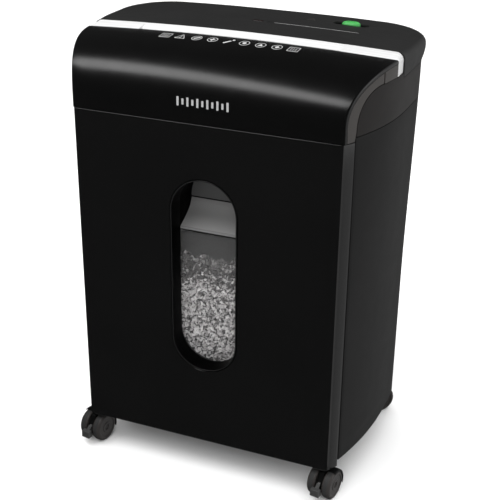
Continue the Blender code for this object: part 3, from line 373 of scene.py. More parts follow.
def closed_shell(outer, inner):
    """A closed wall between two grids of points."""
    made = bmesh.new()
    front = [[made.verts.new(p) for p in row] for row in outer]
    back = [[made.verts.new(p) for p in row] for row in inner]
    rows = len(outer)
    columns = len(outer[0])
    for points in (front, back):
        for r in range(rows - 1):
            for c in range(columns - 1):
                made.faces.new((points[r][c], points[r][c + 1], points[r + 1][c + 1], points[r + 1][c]))
    for r in range(rows - 1):
        for c in (0, columns - 1):
            made.faces.new((front[r][c], front[r + 1][c], back[r + 1][c], back[r][c]))
    for c in range(columns - 1):
        for r in (0, rows - 1):
            made.faces.new((front[r][c], front[r][c + 1], back[r][c + 1], back[r][c]))
    return made


def capped(rings):
    """A closed solid through a stack of rings, with both ends filled."""
    made = tube(rings)
    made.verts.ensure_lookup_table()
    across = len(rings[0])
    made.faces.new(made.verts[:across])
    made.faces.new(made.verts[-across:])
    return made


def prism(outline, axis, start, end):
    """Extrudes an outline along X, Y or Z. The outline's two numbers are the other two axes, in order."""

    def place(a, b, along):
        return {"X": (along, a, b), "Y": (a, along, b), "Z": (a, b, along)}[axis]

    return capped([[place(a, b, along) for a, b in outline] for along in (start, end)])


def depth_prism(outline, start, end):
    return prism(outline, "Y", FRONT_Y + start, FRONT_Y + end)


def bar_across(profile, half):
    """A bar along X from a profile of (depth, height)."""
    return prism([(FRONT_Y + y, z) for y, z in profile], "X", -half, half)


def cuboid(low, high):
    outline = [(low[0], low[1]), (high[0], low[1]), (high[0], high[1]), (low[0], high[1])]
    return prism(outline, "Z", low[2], high[2])


def merged(builders):
    """One bmesh from several."""
    made = bmesh.new()
    for builder in builders:
        bmesh.ops.recalc_face_normals(builder, faces=builder.faces)
        mesh = bpy.data.meshes.new("part")
        builder.to_mesh(mesh)
        builder.free()
        made.from_mesh(mesh)
        bpy.data.meshes.remove(mesh)
    return made


def circle(radius, sides, centre=(0.0, 0.0), squash=1.0):
    """Points round a circle, or round an ellipse when it is squashed."""
    turns = [math.tau * k / sides for k in range(sides)]
    return [(centre[0] + radius * math.cos(a), centre[1] + radius * squash * math.sin(a)) for a in turns]


def stadium(half, bottom, top, steps=36):
    """Upright outline with round ends."""
    points = []
    for start, middle in ((0.0, top - half), (math.pi, bottom + half)):
        angles = [start + math.pi * k / steps for k in range(steps + 1)]
        points += [(half * math.cos(a), middle + half * math.sin(a)) for a in angles]
    return points


def capsule(x, depth, long, wide):
    """Level outline with round ends, from its half length and half width."""
    return [(x + along, FRONT_Y + depth + across) for across, along in stadium(wide, -long, long, 10)]


def lathe(profile, sides):
    """Turns a profile of (distance along X, radius) about X. It starts and ends on the axis."""
    rings = [[(along, *spot) for spot in circle(radius, sides)] for along, radius in profile]
    made = tube(rings)
    bmesh.ops.remove_doubles(made, verts=made.verts, dist=MERGE)
    return made


def turned_ring(profile, sides, centre=(0.0, 0.0), swap=False):
    """Turns a closed profile of (distance along, radius) about X, or about Y when swapped."""
    rings = []
    for along, radius in profile + profile[:1]:
        spots = circle(radius, sides, centre)
        rings.append([(a, along, b) if swap else (along, a, b) for a, b in spots])
    made = tube(rings)
    bmesh.ops.remove_doubles(made, verts=made.verts, dist=MERGE)
    return made


def carve(target, builders, operation="DIFFERENCE", bevel=0.0, segments=2, limit=35.0):
    """Cuts or joins helpers into a bmesh, then rounds its edges. It returns the finished bmesh."""
    base = add_object("base", target)
    helpers = [add_object(f"helper_{number}", builder) for number, builder in enumerate(builders)]
    for helper in helpers:
        step = base.modifiers.new("carve", "BOOLEAN")
        step.operation = operation
        step.solver = "EXACT"
        step.object = helper
    if bevel:
        edge = base.modifiers.new("bevel", "BEVEL")
        edge.width = bevel
        edge.segments = segments
        edge.limit_method = "ANGLE"
        edge.angle_limit = math.radians(limit)
        edge.harden_normals = False
    bpy.context.view_layer.update()
    graph = bpy.context.evaluated_depsgraph_get()
    mesh = bpy.data.meshes.new_from_object(base.evaluated_get(graph))
    made = bmesh.new()
    made.from_mesh(mesh)
    bpy.data.meshes.remove(mesh)
    for helper in [base] + helpers:
        data = helper.data
        bpy.data.objects.remove(helper, do_unlink=True)
        bpy.data.meshes.remove(data)
    return made


def rounded(builder, width, segments=3, limit=35.0):
    """The same solid with its sharp edges rounded."""
    return carve(builder, [], bevel=width, segments=segments, limit=limit)


def centre_of(box):
    return ((box[0][0] + box[1][0]) / 2, (box[0][1] + box[1][1]) / 2 - FRONT_Y)


def half_length(box):
    return (box[1][0] - box[0][0]) / 2


def soften(value):
    value = min(1.0, max(0.0, value))
    return value * value * (3 - 2 * value)


def mix(a, b, share):
    return a + (b - a) * share


# ---------------------------------------------------------------- the body's plan and profile
def half_width(depth, height):
    """Half the outer width of the body, which is barrel shaped in plan and leans out towards its head."""
    reach = max(0.0, WIDEST_DEPTH - depth)
    plans = [half - loss * (reach / run) ** power for half, loss, run, power in (FOOT_PLAN, HEAD_PLAN)]
    return mix(*plans, soften((height - FLARE_FROM) / (FLARE_TO - FLARE_FROM)))


def lid_height(across):
    return LID_TOP - CROWN * (across / LID_HALF) ** 2


def curve_point(angle, power):
    turn = math.radians(angle)
    return 1 - max(0.0, math.cos(turn)) ** (2 / power), math.sin(turn) ** (2 / power)


def hood_point(angle):
    run, rise = curve_point(angle, HOOD_POWER)
    return HOOD_RUN * run, HOOD_SPRING + HOOD_RISE * rise


def flange_point(angle):
    run, rise = curve_point(min(90.0, 90.0 * angle / FLANGE_END_ANGLE), FLANGE_POWER)
    return FLANGE_SPRING[0] + FLANGE_RUN * run, FLANGE_SPRING[1] + FLANGE_RISE * rise


def hood_profile(depth):
    """Height of the hood's curve along its side, without its crown."""
    share = 1 - ((HOOD_RUN - depth) / HOOD_RUN) ** HOOD_POWER
    return HOOD_SPRING + HOOD_RISE * share ** (1 / HOOD_POWER)


def hood_surface(x, depth):
    """Height of the hood's top at a point."""
    z = hood_profile(min(depth, HOOD_RUN - 1e-6))
    lift = CROWN * soften((z - HOOD_SPRING) / HOOD_RISE)
    return z + lift * (1 - (x / half_width(depth, z)) ** 2)


def hood_stations():
    """(depth, height, flange depth, flange height, has the wide flange) from the seam back to the slot."""
    made = [(0.0, SEAM, FLANGE_DEPTH, SEAM, True)]
    for k in range(1, 6):
        share = k / 6
        z = mix(SEAM, HOOD_SPRING, share)
        low = mix(SEAM, FLANGE_SPRING[1], share)
        made.append((0.0, z, mix(FLANGE_DEPTH, FLANGE_SPRING[0], share), low, True))
    angles = [2.2 * k for k in range(34)] + [FLANGE_END_ANGLE]
    made += [(*hood_point(a), *flange_point(a), True) for a in angles]
    after = [FLANGE_END_ANGLE + 0.4 + 1.65 * k for k in range(10)] + [90.0]
    made += [(*hood_point(a), *flange_point(a), False) for a in after]
    made.append((HOOD_REAR, HOOD_SPRING + HOOD_RISE, *flange_point(90.0), False))
    return made


# ---------------------------------------------------------------- hood
def make_hood():
    stations = hood_stations()
    radius = HOOD_EDGE
    bends = [math.radians(a) for a in (0, 18, 36, 54, 72, 90)]
    shares = [k / 14 for k in range(1, 15)]

    def directions(k):
        """Unit vector along the hood's profile, turned inwards, and the one along its flange."""
        y, z, fy, fz, wide = stations[k]
        before = stations[max(0, k - 1)]
        after = stations[min(len(stations) - 1, k + 1)]
        run = Vector((after[0] - before[0], after[1] - before[1])).normalized()
        inward = Vector((run.y, -run.x))
        if wide:
            return inward, Vector((fy - y, fz - z)).normalized()
        return inward, inward

    def row(k, inset):
        y, z = stations[k][:2]
        inward, side = directions(k)
        lift = CROWN * soften((z - HOOD_SPRING) / HOOD_RISE)
        edge = half_width(y, z)
        half = []
        corner = [(radius * (1 - math.cos(a)), radius * (1 - math.sin(a))) for a in bends]
        for u, v in [(0.0, HOOD_EDGE_START)] + corner:
            where = (y + side.x * v, z + side.y * v)
            half.append((half_width(*where) - u, *where))
        half += [(mix(edge - radius, 0.0, s), y, z) for s in shares]
        points = []
        for x, py, pz in half:
            share = 1 - (x / edge) ** 2
            if inset:
                keep = x - inset if x > inset else x
                points.append((keep, py + inward.x * inset, pz + inward.y * inset + lift * share))
            else:
                points.append((x, py, pz + lift * share))
        mirrored = [(-x, py, pz) for x, py, pz in reversed(points[:-1])]
        return [at(*p) for p in points + mirrored]

    outer = [row(k, 0.0) for k in range(len(stations))]
    inner = [row(k, HOOD_WALL) for k in range(len(stations))]
    piece("hood_shell", closed_shell(outer, inner), "gloss_black", CABINET, ("front_hood",))

    flange = []
    for y, z, fy, fz, wide in stations:
        if wide:
            start = FLANGE_STEP / math.hypot(fy - y, fz - z)
            shares = [mix(start, 1.0, s / 6) for s in range(7)]
            flange.append([(mix(y, fy, s), mix(z, fz, s)) for s in shares])
    shoulder = []
    for step in range(13):
        y = mix(FLANGE_ENDS + 0.0022, TRIM_FRONT - 0.0005, step / 12)
        top = hood_profile(min(y, HOOD_RUN)) - 0.0040
        shoulder.append([(y, mix(TRIM_DROP, top, s / 4)) for s in range(5)])
    backing = []
    for y, z, fy, fz, wide in stations[5:-1]:
        if not wide:
            fy, fz = y, TRIM_DROP - 0.002
        backing.append([(mix(y, fy, s), mix(z, fz, s)) for s in (0.12, 0.55, 1.0, 1.2)])
    for side, name in ((1, "right"), (-1, "left")):
        # The flanges and shoulders take shoulder_grey: partly their own paler grey, partly painted reflection
        # of the light from the right.
        side_skin(f"hood_flange_{name}", side, flange, (0.0003, 0.0022), "shoulder_grey", "gloss_black",
                  "front_hood")
        side_skin(f"shoulder_{name}_skin", side, shoulder, (0.0002, 0.0022), "shoulder_grey", "satin_black",
                  f"shoulder_{name}")
        # The backing is painted shadow: shineless black sheets just inside the hood's sides, where only the
        # shade inside shows.
        side_skin(f"hood_backing_{name}", side, backing, (0.0026, 0.0034), "gap_shadow_black", "satin_black")


def side_skin(name, side, rows, insets, look, slot, *replaces):
    """Thin wall along one side of the body, between two insets, through rows of (depth, height)."""
    walls = [[[at(side * (half_width(*p) - inset), *p) for p in row] for row in rows] for inset in insets]
    piece(name, closed_shell(*walls), look, CABINET, replaces)


# ---------------------------------------------------------------- bright strip behind the paper slot
def make_trim():
    edge = TRIM_HIGH[0] - 0.0003
    front_top = HOOD_SPRING + HOOD_RISE
    bends = [math.radians(a) for a in range(0, 91, 9)]
    shares = [k / 6 for k in range(7)]

    def top(x, share):
        return mix(front_top + CROWN * (1 - (x / edge) ** 2), lid_height(x), share)

    def spot(x, share, lowered, inset):
        y = mix(TRIM_FRONT, TRIM_REAR, share)
        drop = 0.0
        if lowered:
            y = mix(THROAT_REAR + 0.0006, TRIM_REAR - 0.0005, share)
            drop = BAND_DROP * (1 - share) ** 1.15
        return (x, y, top(x, share) - drop - inset)

    def column(kind, value, inset):
        made = []
        for share in shares:
            y = mix(TRIM_FRONT, TRIM_REAR, share)
            bend = mix(*TRIM_BENDS, share)
            if kind == "wall":
                z = mix(TRIM_DROP, top(edge, share) - bend, value)
                made.append((edge - inset, y, z))
            elif kind == "bend":
                reach = bend - inset
                x = edge - bend + reach * math.cos(value)
                made.append((x, y, top(edge - bend, share) - bend + reach * math.sin(value)))
            else:
                made.append(spot(value, share, kind == "low", inset))
        return made

    def rows(inset):
        step = THROAT_HALF + 0.8 * inset
        half = [column("wall", s / 4, inset) for s in range(4)]
        half += [column("bend", a, inset) for a in bends]
        half += [column("high", x, inset) for x in (0.162, 0.150, 0.136, 0.122, step + 0.0005)]
        half += [column("low", step, inset)]
        half += [column("low", 0.014 * k, inset) for k in range(7, -1, -1)]
        mirrored = [[(-x, y, z) for x, y, z in one] for one in reversed(half[:-1])]
        return [[at(*p) for p in one] for one in half + mirrored]

    strip = rounded(closed_shell(rows(0.0), rows(TRIM_WALL)), 0.0004, 2, 50.0)
    piece("trim_strip", strip, "silver_paint", CABINET, ("silver_trim",), smooth=30.0)

    # The throat lip is painted shadow: a shineless black lip curving down into the paper slot, giving the
    # slot its dark line.
    profile = [(0.0034, 0.0026), (0.0016, 0.0027), (0.0006, 0.0033), (0.0001, 0.0044), (0.0, 0.0080),
               (0.0014, 0.0080), (0.0018, 0.0052), (0.0034, 0.0040)]
    rings = []
    for k in range(33):
        x = mix(-THROAT_HALF + 0.0004, THROAT_HALF - 0.0004, k / 32)
        rings.append([at(x, THROAT_REAR + run, top(x, 0.15) - drop) for run, drop in profile])
    piece("throat_lip", capped(rings), "gap_shadow_black", CABINET, smooth=35.0)


# ---------------------------------------------------------------- lid
def lid_outline(grow, rear_grow, corner, steps=26, turns=14):
    front = TRIM_REAR + 0.0003
    rear = CABINET_REAR + rear_grow
    turn_at = rear - corner
    points = []
    for k in range(steps):
        y = mix(front, turn_at, k / steps)
        fade = soften((y - front) / 0.0300)
        points.append((half_width(y, FLARE_TO) + grow * fade, y))
    widest = half_width(WIDEST_DEPTH, FLARE_TO) + grow
    for k in range(turns + 1):
        angle = math.pi / 2 * k / turns
        points.append((widest - corner + corner * math.cos(angle), turn_at + corner * math.sin(angle)))
    rear_edge = [(points[-1][0] * s, rear) for s in (0.75, 0.5, 0.25)]
    half = points + rear_edge
    return half + [(0.0, rear)] + [(-x, y) for x, y in reversed(half)]


def make_lid():
    spread = LID_HALF - half_width(WIDEST_DEPTH, FLARE_TO) + 0.0007
    rear_spread = LID_REAR - CABINET_REAR
    front = TRIM_REAR + 0.0003

    def ring(share, pull, height):
        """Outline at a share of the overhang, pulled in from its side and rear edges."""
        outline = lid_outline(spread * share, rear_spread * share, mix(REAR_CORNER, 0.0520, share))
        made = []
        for x, y in outline:
            towards = Vector((-x, 0.150 - y))
            towards.x = math.copysign(min(abs(x), abs(towards.x)), -x) if x else 0.0
            step = towards.normalized() * pull if towards.length else Vector((0, 0))
            if y < front + 1e-6:
                made.append((x - math.copysign(min(abs(x), pull), x), y, height(x)))
            else:
                made.append((x + step.x, max(front, y + step.y), height(x)))
        return made

    def under(amount):
        return lambda x: lid_height(x) - amount

    def level(z):
        return lambda x: z

    rings = []
    for z, share in ((LID_UNDER, 0.0), (0.4618, 0.20), (0.4650, 0.52), (0.4685, 0.80), (0.4725, 0.96)):
        rings.append(ring(share, 0.0, level(z)))
    rings.append(ring(0.99, 0.0, under(0.0100)))
    for degrees in (0, 14, 28, 42, 56, 70, 82, 90):
        angle = math.radians(degrees)
        rings.append(ring(0.96, LID_ROUND * (1 - math.cos(angle)), under(LID_ROUND * (1 - math.sin(angle)))))
    last = rings[-1]

    def shrunk(scale, drop, nearest):
        """The lid's top edge pulled in towards its middle, no nearer the front than a given depth."""
        plan = [(x * scale, max(nearest, mix(LID_MIDDLE, y, scale))) for x, y, z in last]
        return [(x, y, lid_height(x) - drop) for x, y in plan]

    rings += [shrunk(scale, 0.0, 0.0) for scale in (0.90, 0.75, 0.6, 0.45, 0.3, 0.15, 0.05)]
    lining = [(0.20, 0.0024), (0.55, 0.0024), (0.92, 0.0024), (0.955, 0.0055)]
    inner = [shrunk(scale, drop, front + 0.002) for scale, drop in lining]
    foot = [(x * 0.972, max(front + 0.002, y)) for x, y, z in rings[0]]
    inner.append([(x, min(CABINET_REAR - 0.003, y), LID_UNDER) for x, y in foot])
    body = capped([[at(*p) for p in one] for one in inner + rings])

    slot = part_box("card_chute")
    low = slot[0][0] + 0.0024
    high = slot[1][0] - 0.0024
    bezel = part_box("switch_bezel")
    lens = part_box("indicator_lens")
    openings = [
        (((low + high) / 2, CARD_DEPTH), (high - low) / 2, 0.0013),
        (centre_of(bezel), half_length(bezel) + 0.0003, 0.0061),
        (centre_of(lens), half_length(lens) + 0.0002, 0.0025),
    ]
    cutters = []
    for (x, depth), long, wide in openings:
        cutters.append(prism(capsule(x, depth, long, wide), "Z", 0.470, 0.500))
    lid = carve(body, cutters, bevel=0.0005, limit=55.0)
    piece("lid_shell", lid, "matte_black", CABINET, ("top_cover",), smooth=38.0)


# ---------------------------------------------------------------- walls
def wall_columns(start, sides=30, turns=14):
    """Columns from the front right edge to the middle of the rear: depths, angles, shares of the width."""
    turn_at = CABINET_REAR - REAR_CORNER
    columns = [("side", mix(start, turn_at, k / sides)) for k in range(sides)]
    columns += [("corner", math.pi / 2 * k / turns) for k in range(turns + 1)]
    columns += [("rear", s) for s in (0.75, 0.5, 0.25)]
    return columns


def wall_spot(column, z, inset):
    kind, value = column
    if kind == "side":
        return (half_width(value, z) - inset, value, z)
    radius = REAR_CORNER - inset
    widest = half_width(WIDEST_DEPTH, z) - inset
    turn_at = CABINET_REAR - REAR_CORNER
    if kind == "corner":
        return (widest - radius + radius * math.cos(value), turn_at + radius * math.sin(value), z)
    return ((widest - radius) * value, turn_at + radius, z)


def wall_shell(columns, bottom, top, inset, thickness, levels):
    """Closed U-shaped wall. The top may be a number or a function of the column."""

    def rows(depth_in):
        half = []
        for column in columns:
            high = top(column) if callable(top) else top
            heights = [mix(bottom, high, k / levels) for k in range(levels + 1)]
            half.append([wall_spot(column, z, depth_in) for z in heights])
        middle = [[(0.0, p[1], p[2]) for p in half[-1]]]
        mirrored = [[(-x, y, z) for x, y, z in one] for one in reversed(half)]
        return [[at(*p) for p in one] for one in half + middle + mirrored]

    return closed_shell(rows(inset), rows(inset + thickness))


def skirt_top(column):
    kind, depth = column
    if kind != "side" or depth > TRIM_REAR - 0.0004:
        return LID_UNDER - 0.0004
    share = min(1.0, max(0.0, (depth - 0.0006 - FLANGE_SPRING[0]) / FLANGE_RUN))
    rise = (1 - (1 - share) ** FLANGE_POWER) ** (1 / FLANGE_POWER)
    return min(FLANGE_SPRING[1] + FLANGE_RISE * rise - 0.0006, TRIM_DROP - 0.0004)


def make_walls():
    cabinet = wall_shell(wall_columns(FLANGE_DEPTH + 0.0014), CABINET_LOW[2], CABINET_HIGH[2], 0.0, WALL, 16)
    skin = rounded(cabinet, 0.0006, 2, 50.0)
    piece("cabinet_skin", skin, "satin_black", CABINET, ("cabinet_shell",), smooth=30.0)
    front = FLANGE_SPRING[0] + 0.0008
    steps = (0, 0.0004, 0.0010, 0.0018, 0.0028, 0.0042, 0.0060, 0.0080, 0.0105)
    columns = [("side", front + step) for step in steps]
    columns += [("side", front + 0.0105 + 0.0033 * k) for k in range(1, 23)]
    columns = [c for c in columns if c[1] < TRIM_REAR - 0.0012]
    columns += [("side", TRIM_REAR - 0.0008), ("side", TRIM_REAR - 0.0002)]
    columns += [c for c in wall_columns(0.1030) if c[0] != "side" or c[1] > TRIM_REAR + 0.001]
    skirt = wall_shell(columns, SKIRT_LOW[2] + 0.0001, skirt_top, 0.0, WALL, 6)
    # A shineless black band set back in the seam under the head: painted shadow in the seam.
    seam_shadow = wall_shell(columns, SKIRT_LOW[2] - SEAM_SHADOW_REACH, SKIRT_LOW[2] + SEAM_SHADOW_REACH, 0.0008, 0.0016, 1)
    piece("head_seam_shadow", seam_shadow, "gap_shadow_black", CABINET, smooth=30.0)
    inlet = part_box("cord_inlet")
    centre = ((inlet[0][0] + inlet[1][0]) / 2, (inlet[0][2] + inlet[1][2]) / 2)
    cutters = [depth_prism(circle(0.0083, 32, centre), 0.200, 0.230)]
    for row in range(VENT_ROWS):
        height = SKIRT_LOW[2] + 0.0095 + 0.0055 * row
        for bay in range(VENT_BAYS):
            left = -0.052 + 0.036 * bay
            cutters.append(cuboid(at(left, 0.205, height), at(left + 0.030, 0.230, height + 0.0022)))
    skirt = carve(skirt, cutters, bevel=0.0005, limit=50.0)
    piece("head_wall", skirt, "skirt_black", CABINET, ("head_skirt",), smooth=30.0)


# ---------------------------------------------------------------- bin
def window_outline(grow):
    return stadium(WINDOW_HALF + grow, WINDOW_BOTTOM - grow, WINDOW_TOP + grow)


def window_arch(grow, base, above=0.3):
    """The window's round top, closed by a level base."""
    half = WINDOW_HALF + grow
    return [(x, z) for x, z in window_outline(grow) if z > above] + [(-half, base), (half, base)]


def bin_piece(name, builder, look, *replaces, smooth=35.0):
    piece(name, builder, look, BIN, replaces, smooth)


def make_bin_front():
    radius = 0.0030
    wall = 0.0028
    bends = [math.radians(d) for d in (90, 70, 50, 30, 10, 0)]
    edge = FRONT_HALF + 0.0004
    plan = [(FLANGE_HALF, FLANGE_DEPTH), (0.1526, 0.0100), (0.1503, 0.0062), (0.1483, 0.0032)]
    plan += [(edge - radius * (1 - math.sin(a)) * 0.8, radius * (1 - math.cos(a)) * 0.45) for a in bends]
    plan += [(0.120, 0.0), (0.060, 0.0)]
    inside = [(x - wall * 0.85, y + (wall * 0.35 if y > 0.002 else wall)) for x, y in plan]
    inside[0] = (FLANGE_HALF - 0.0024, FLANGE_DEPTH)
    rows = []
    for outline in (plan, inside):
        whole = outline + [(-x, y) for x, y in reversed(outline)]
        rows.append([[at(x, y, z) for x, y in whole] for z in (PANEL_LOW[2], PANEL_HIGH[2])])
    hole = depth_prism(window_outline(WINDOW_WALL + 0.0002), -0.01, 0.012)
    panel = carve(closed_shell(*rows), [hole], bevel=0.0007, segments=3, limit=50.0)
    bin_piece("bin_front", panel, "panel_black", "bin_front_panel", smooth=25.0)

    rim = depth_prism(window_outline(WINDOW_WALL), 0.0002, WINDOW_DEPTH + 0.0012)
    bore = depth_prism(window_outline(0.0), -0.010, WINDOW_DEPTH + 0.01)
    bin_piece("window_rim", carve(rim, [bore], bevel=0.0006, segments=3), "window_black", "window_frame")
    rib = cuboid(at(-RIB_HALF, RIB_DEPTHS[0], RIB_LEVELS[0]), at(RIB_HALF, RIB_DEPTHS[1], RIB_LEVELS[1]))
    bin_piece("bin_front_rib", rounded(rib, 0.0006), "matte_black")
    # The bead round the window is a paler black than the panel: painted highlight of the window's edge.
    bead = depth_prism(window_outline(BEAD_WIDTH + 0.0003), 0.0001, 0.0009)
    ring = depth_prism(window_outline(0.0003), -0.01, 0.01)
    bin_piece("window_bead", carve(bead, [ring], bevel=0.0003, segments=4), "bead_black")


def make_finger_pocket():
    """The hollow over the pane: a round-topped box, and the ledge that fingers pull on."""
    arch = window_arch(WINDOW_WALL, LEDGE_UNDER)
    block = depth_prism(arch, WINDOW_DEPTH + 0.0013, POCKET_DEPTH + WINDOW_WALL)
    room = depth_prism(window_arch(-0.0001, LEDGE_BACK - 0.002), WINDOW_DEPTH - 0.001, POCKET_DEPTH)
    knee_depth, knee_height = LEDGE_KNEE
    scoop = [(WINDOW_DEPTH - 0.001, LEDGE_UNDER - 0.001), (WINDOW_DEPTH + 0.004, LEDGE_UNDER - 0.001),
             (WINDOW_DEPTH + 0.004, LEDGE_UNDER + 0.0002), (knee_depth, knee_height - 0.0030),
             (POCKET_DEPTH, LEDGE_BACK - 0.0050), (POCKET_DEPTH, LEDGE_BACK + 0.001),
             (WINDOW_DEPTH - 0.001, LEDGE_BACK + 0.001)]
    pocket = carve(block, [room, bar_across(scoop, WINDOW_HALF - 0.0001)], bevel=0.0003)
    bin_piece("finger_pocket", pocket, "window_black")

    half = WINDOW_HALF - 0.0004
    near_pane = WINDOW_DEPTH + 0.0001
    step = WINDOW_DEPTH + 0.0010
    # The groove under the ledge is painted shadow: a shineless black strip where the ledge meets the pane.
    groove = [(near_pane, LEDGE_UNDER), (step, LEDGE_UNDER), (step, LEDGE_UNDER + 0.0012),
              (near_pane, LEDGE_UNDER + 0.0012)]
    bin_piece("ledge_groove", rounded(bar_across(groove, half), 0.0002, 2), "gap_shadow_black")
    front = WINDOW_DEPTH + 0.0006
    lip = [(front + 0.0006, LEDGE_UNDER + 0.0013), (near_pane, LEDGE_UNDER + 0.0013),
           (WINDOW_DEPTH, LEDGE_FRONT - 0.0010), (front, LEDGE_FRONT - 0.0001),
           (front + 0.0006, LEDGE_FRONT + 0.0001)]
    bin_piece("ledge_lip", rounded(bar_across(lip, half), 0.0002, 2), "lip_grey")

    back = (POCKET_DEPTH - 0.0002, LEDGE_BACK - 0.0002)
    near = (mix(front, knee_depth, 0.72), mix(LEDGE_FRONT, knee_height, 0.72))
    far = (mix(knee_depth, back[0], 0.55), mix(knee_height, back[1], 0.55))
    sill = [(front + 0.0007, LEDGE_UNDER + 0.0008), (front + 0.0007, LEDGE_FRONT + 0.0002)]
    for k in range(9):
        t = k / 8
        bend = ((1 - t) ** 2, 2 * t * (1 - t), t * t)
        sill.append([bend[0] * a + bend[1] * b + bend[2] * c for a, b, c in zip(near, LEDGE_KNEE, far)])
    sill += [back, (back[0], LEDGE_BACK - 0.0046), (knee_depth, knee_height - 0.0026),
             (WINDOW_DEPTH + 0.0044, LEDGE_UNDER + 0.0006)]
    bin_piece("finger_ledge", rounded(bar_across(sill, half), 0.0003, 2), "ledge_grey")
    # The back wall under the arch is a darker grey than the ledge: painted shade in the pocket.
    arch = window_arch(-0.0006, LEDGE_BACK + 0.0013, above=0.32)
    bin_piece("pocket_back", depth_prism(arch, POCKET_DEPTH - 0.0008, POCKET_DEPTH - 0.0001), "pocket_grey",
              smooth=40.0)


def make_pane():
    half = WINDOW_HALF + 0.0020
    outline = [(x, z) for x, z in stadium(half, WINDOW_BOTTOM - 0.0020, 0.5) if z < 0.25]
    outline += [(half, LEDGE_UNDER - 0.0004), (-half, LEDGE_UNDER - 0.0004)]
    pane = rounded(prism(outline, "Y", PANE_LOW[1], PANE_HIGH[1]), 0.0003, 2)
    piece("window_glazing", pane, "smoked_clear", BIN, ("window_pane",))


def make_shreds():
    """A heap of short cut strips: a bumpy core in near-black paper, painted shadow between the chips, and
    loose bits over its top and against the pane.
    """
    rng = random.Random(11)
    half = TUB_HIGH[0] - 0.0075
    low_y = PANE_HIGH[1] + 0.0022
    high_y = TUB_HIGH[1] - 0.0065
    floor = TUB_LOW[2] + 0.0030

    def surface(x, y):
        """Height of the heap, which leans on the pane and falls away towards the back."""
        wave = math.sin(x * 61 + 1.3) * math.cos(y * 47 + 0.4) + 0.6 * math.sin(x * 23 - y * 31)
        return HEAP_LEVEL + 0.0022 * wave - HEAP_SLOPE * (y - low_y) - HEAP_SAG * (x / half) ** 2

    across = [mix(-half, half, i / 44) for i in range(45)]
    rows = [[(x, mix(low_y + 0.0040, high_y, j / 28)) for x in across] for j in range(29)]
    top = [[(x, y, surface(x, y) - 0.0025 + rng.uniform(-0.0012, 0.0012)) for x, y in one] for one in rows]
    bottom = [[(x * 0.975, y, floor) for x, y in one] for one in rows]
    piece("shred_core", closed_shell(top, bottom), "heap_shade", BIN, smooth=60.0)

    shades = {"light": bmesh.new(), "mid": bmesh.new(), "dark": bmesh.new()}

    def shred(x, y, z, tilt, fade, size=1.0):
        """One chip. The fade is its chance of being a dark one, a chip with painted shade."""
        pick = rng.random()
        made = shades["dark" if pick < fade else "mid" if pick < fade + 0.25 else "light"]
        length = rng.uniform(0.0040, 0.0072) * size
        width = rng.uniform(0.0024, 0.0038) * size
        turn = Matrix.Rotation(rng.uniform(0, math.tau), 3, "Z")
        lean = Matrix.Rotation(rng.gauss(0, tilt), 3, "X") @ Matrix.Rotation(rng.gauss(0, tilt), 3, "Y")
        curl = rng.uniform(-0.0010, 0.0010) * size
        spin = lean @ turn
        verts = []
        for side in (CHIP_HALF, -CHIP_HALF):
            for k in (-1, 0, 1):
                rise = curl * (1 - k * k) + side
                for w in (-1, 1):
                    spot = Vector((k * length / 2, w * width / 2, rise))
                    verts.append(made.verts.new(Vector((x, y, z)) + spin @ spot))
        top_side = verts[:6]
        low_side = verts[6:]
        for a, b, c, d in ((0, 2, 3, 1), (2, 4, 5, 3)):
            made.faces.new((top_side[a], top_side[b], top_side[c], top_side[d]))
            made.faces.new((low_side[d], low_side[c], low_side[b], low_side[a]))
        loop = (0, 2, 4, 5, 3, 1)
        for a, b in zip(loop, loop[1:] + loop[:1]):
            made.faces.new((top_side[b], top_side[a], low_side[a], low_side[b]))

    for _ in range(TOP_CHIPS):
        x = rng.uniform(-half + 0.004, half - 0.004)
        y = rng.uniform(low_y + 0.006, high_y - 0.004)
        lift = rng.uniform(-0.001, 0.0030)
        shred(x, y, surface(x, y) + lift, 0.5, 0.10)
    sight = WINDOW_HALF + 0.004
    for _ in range(PANE_CHIPS):
        x = rng.uniform(-sight, sight)
        z = rng.uniform(WINDOW_BOTTOM - 0.003, HEAP_LEVEL + 0.006)
        y = low_y + 0.0022 + abs(rng.gauss(0, 0.0014))
        reach = z - WINDOW_BOTTOM - WINDOW_HALF
        if reach < 0 and math.hypot(x, reach) > sight:
            continue
        # Near the heap's top the chips thin out and turn dark more often: painted shade over the top of the
        # heap.
        climb = min(1.0, max(0.0, (z - (HEAP_LEVEL - HEAP_FADE)) / HEAP_FADE))
        if rng.random() < 0.70 * climb:
            continue
        shred(x, max(low_y + 0.0018, y), z, 0.9, 0.27 + 0.68 * climb, 0.76)
    for shade, made in shades.items():
        for vert in made.verts:
            vert.co.y = max(vert.co.y, low_y + 0.0002)
        piece(f"shreds_{shade}", made, f"paper_{shade}", BIN, smooth=20.0)


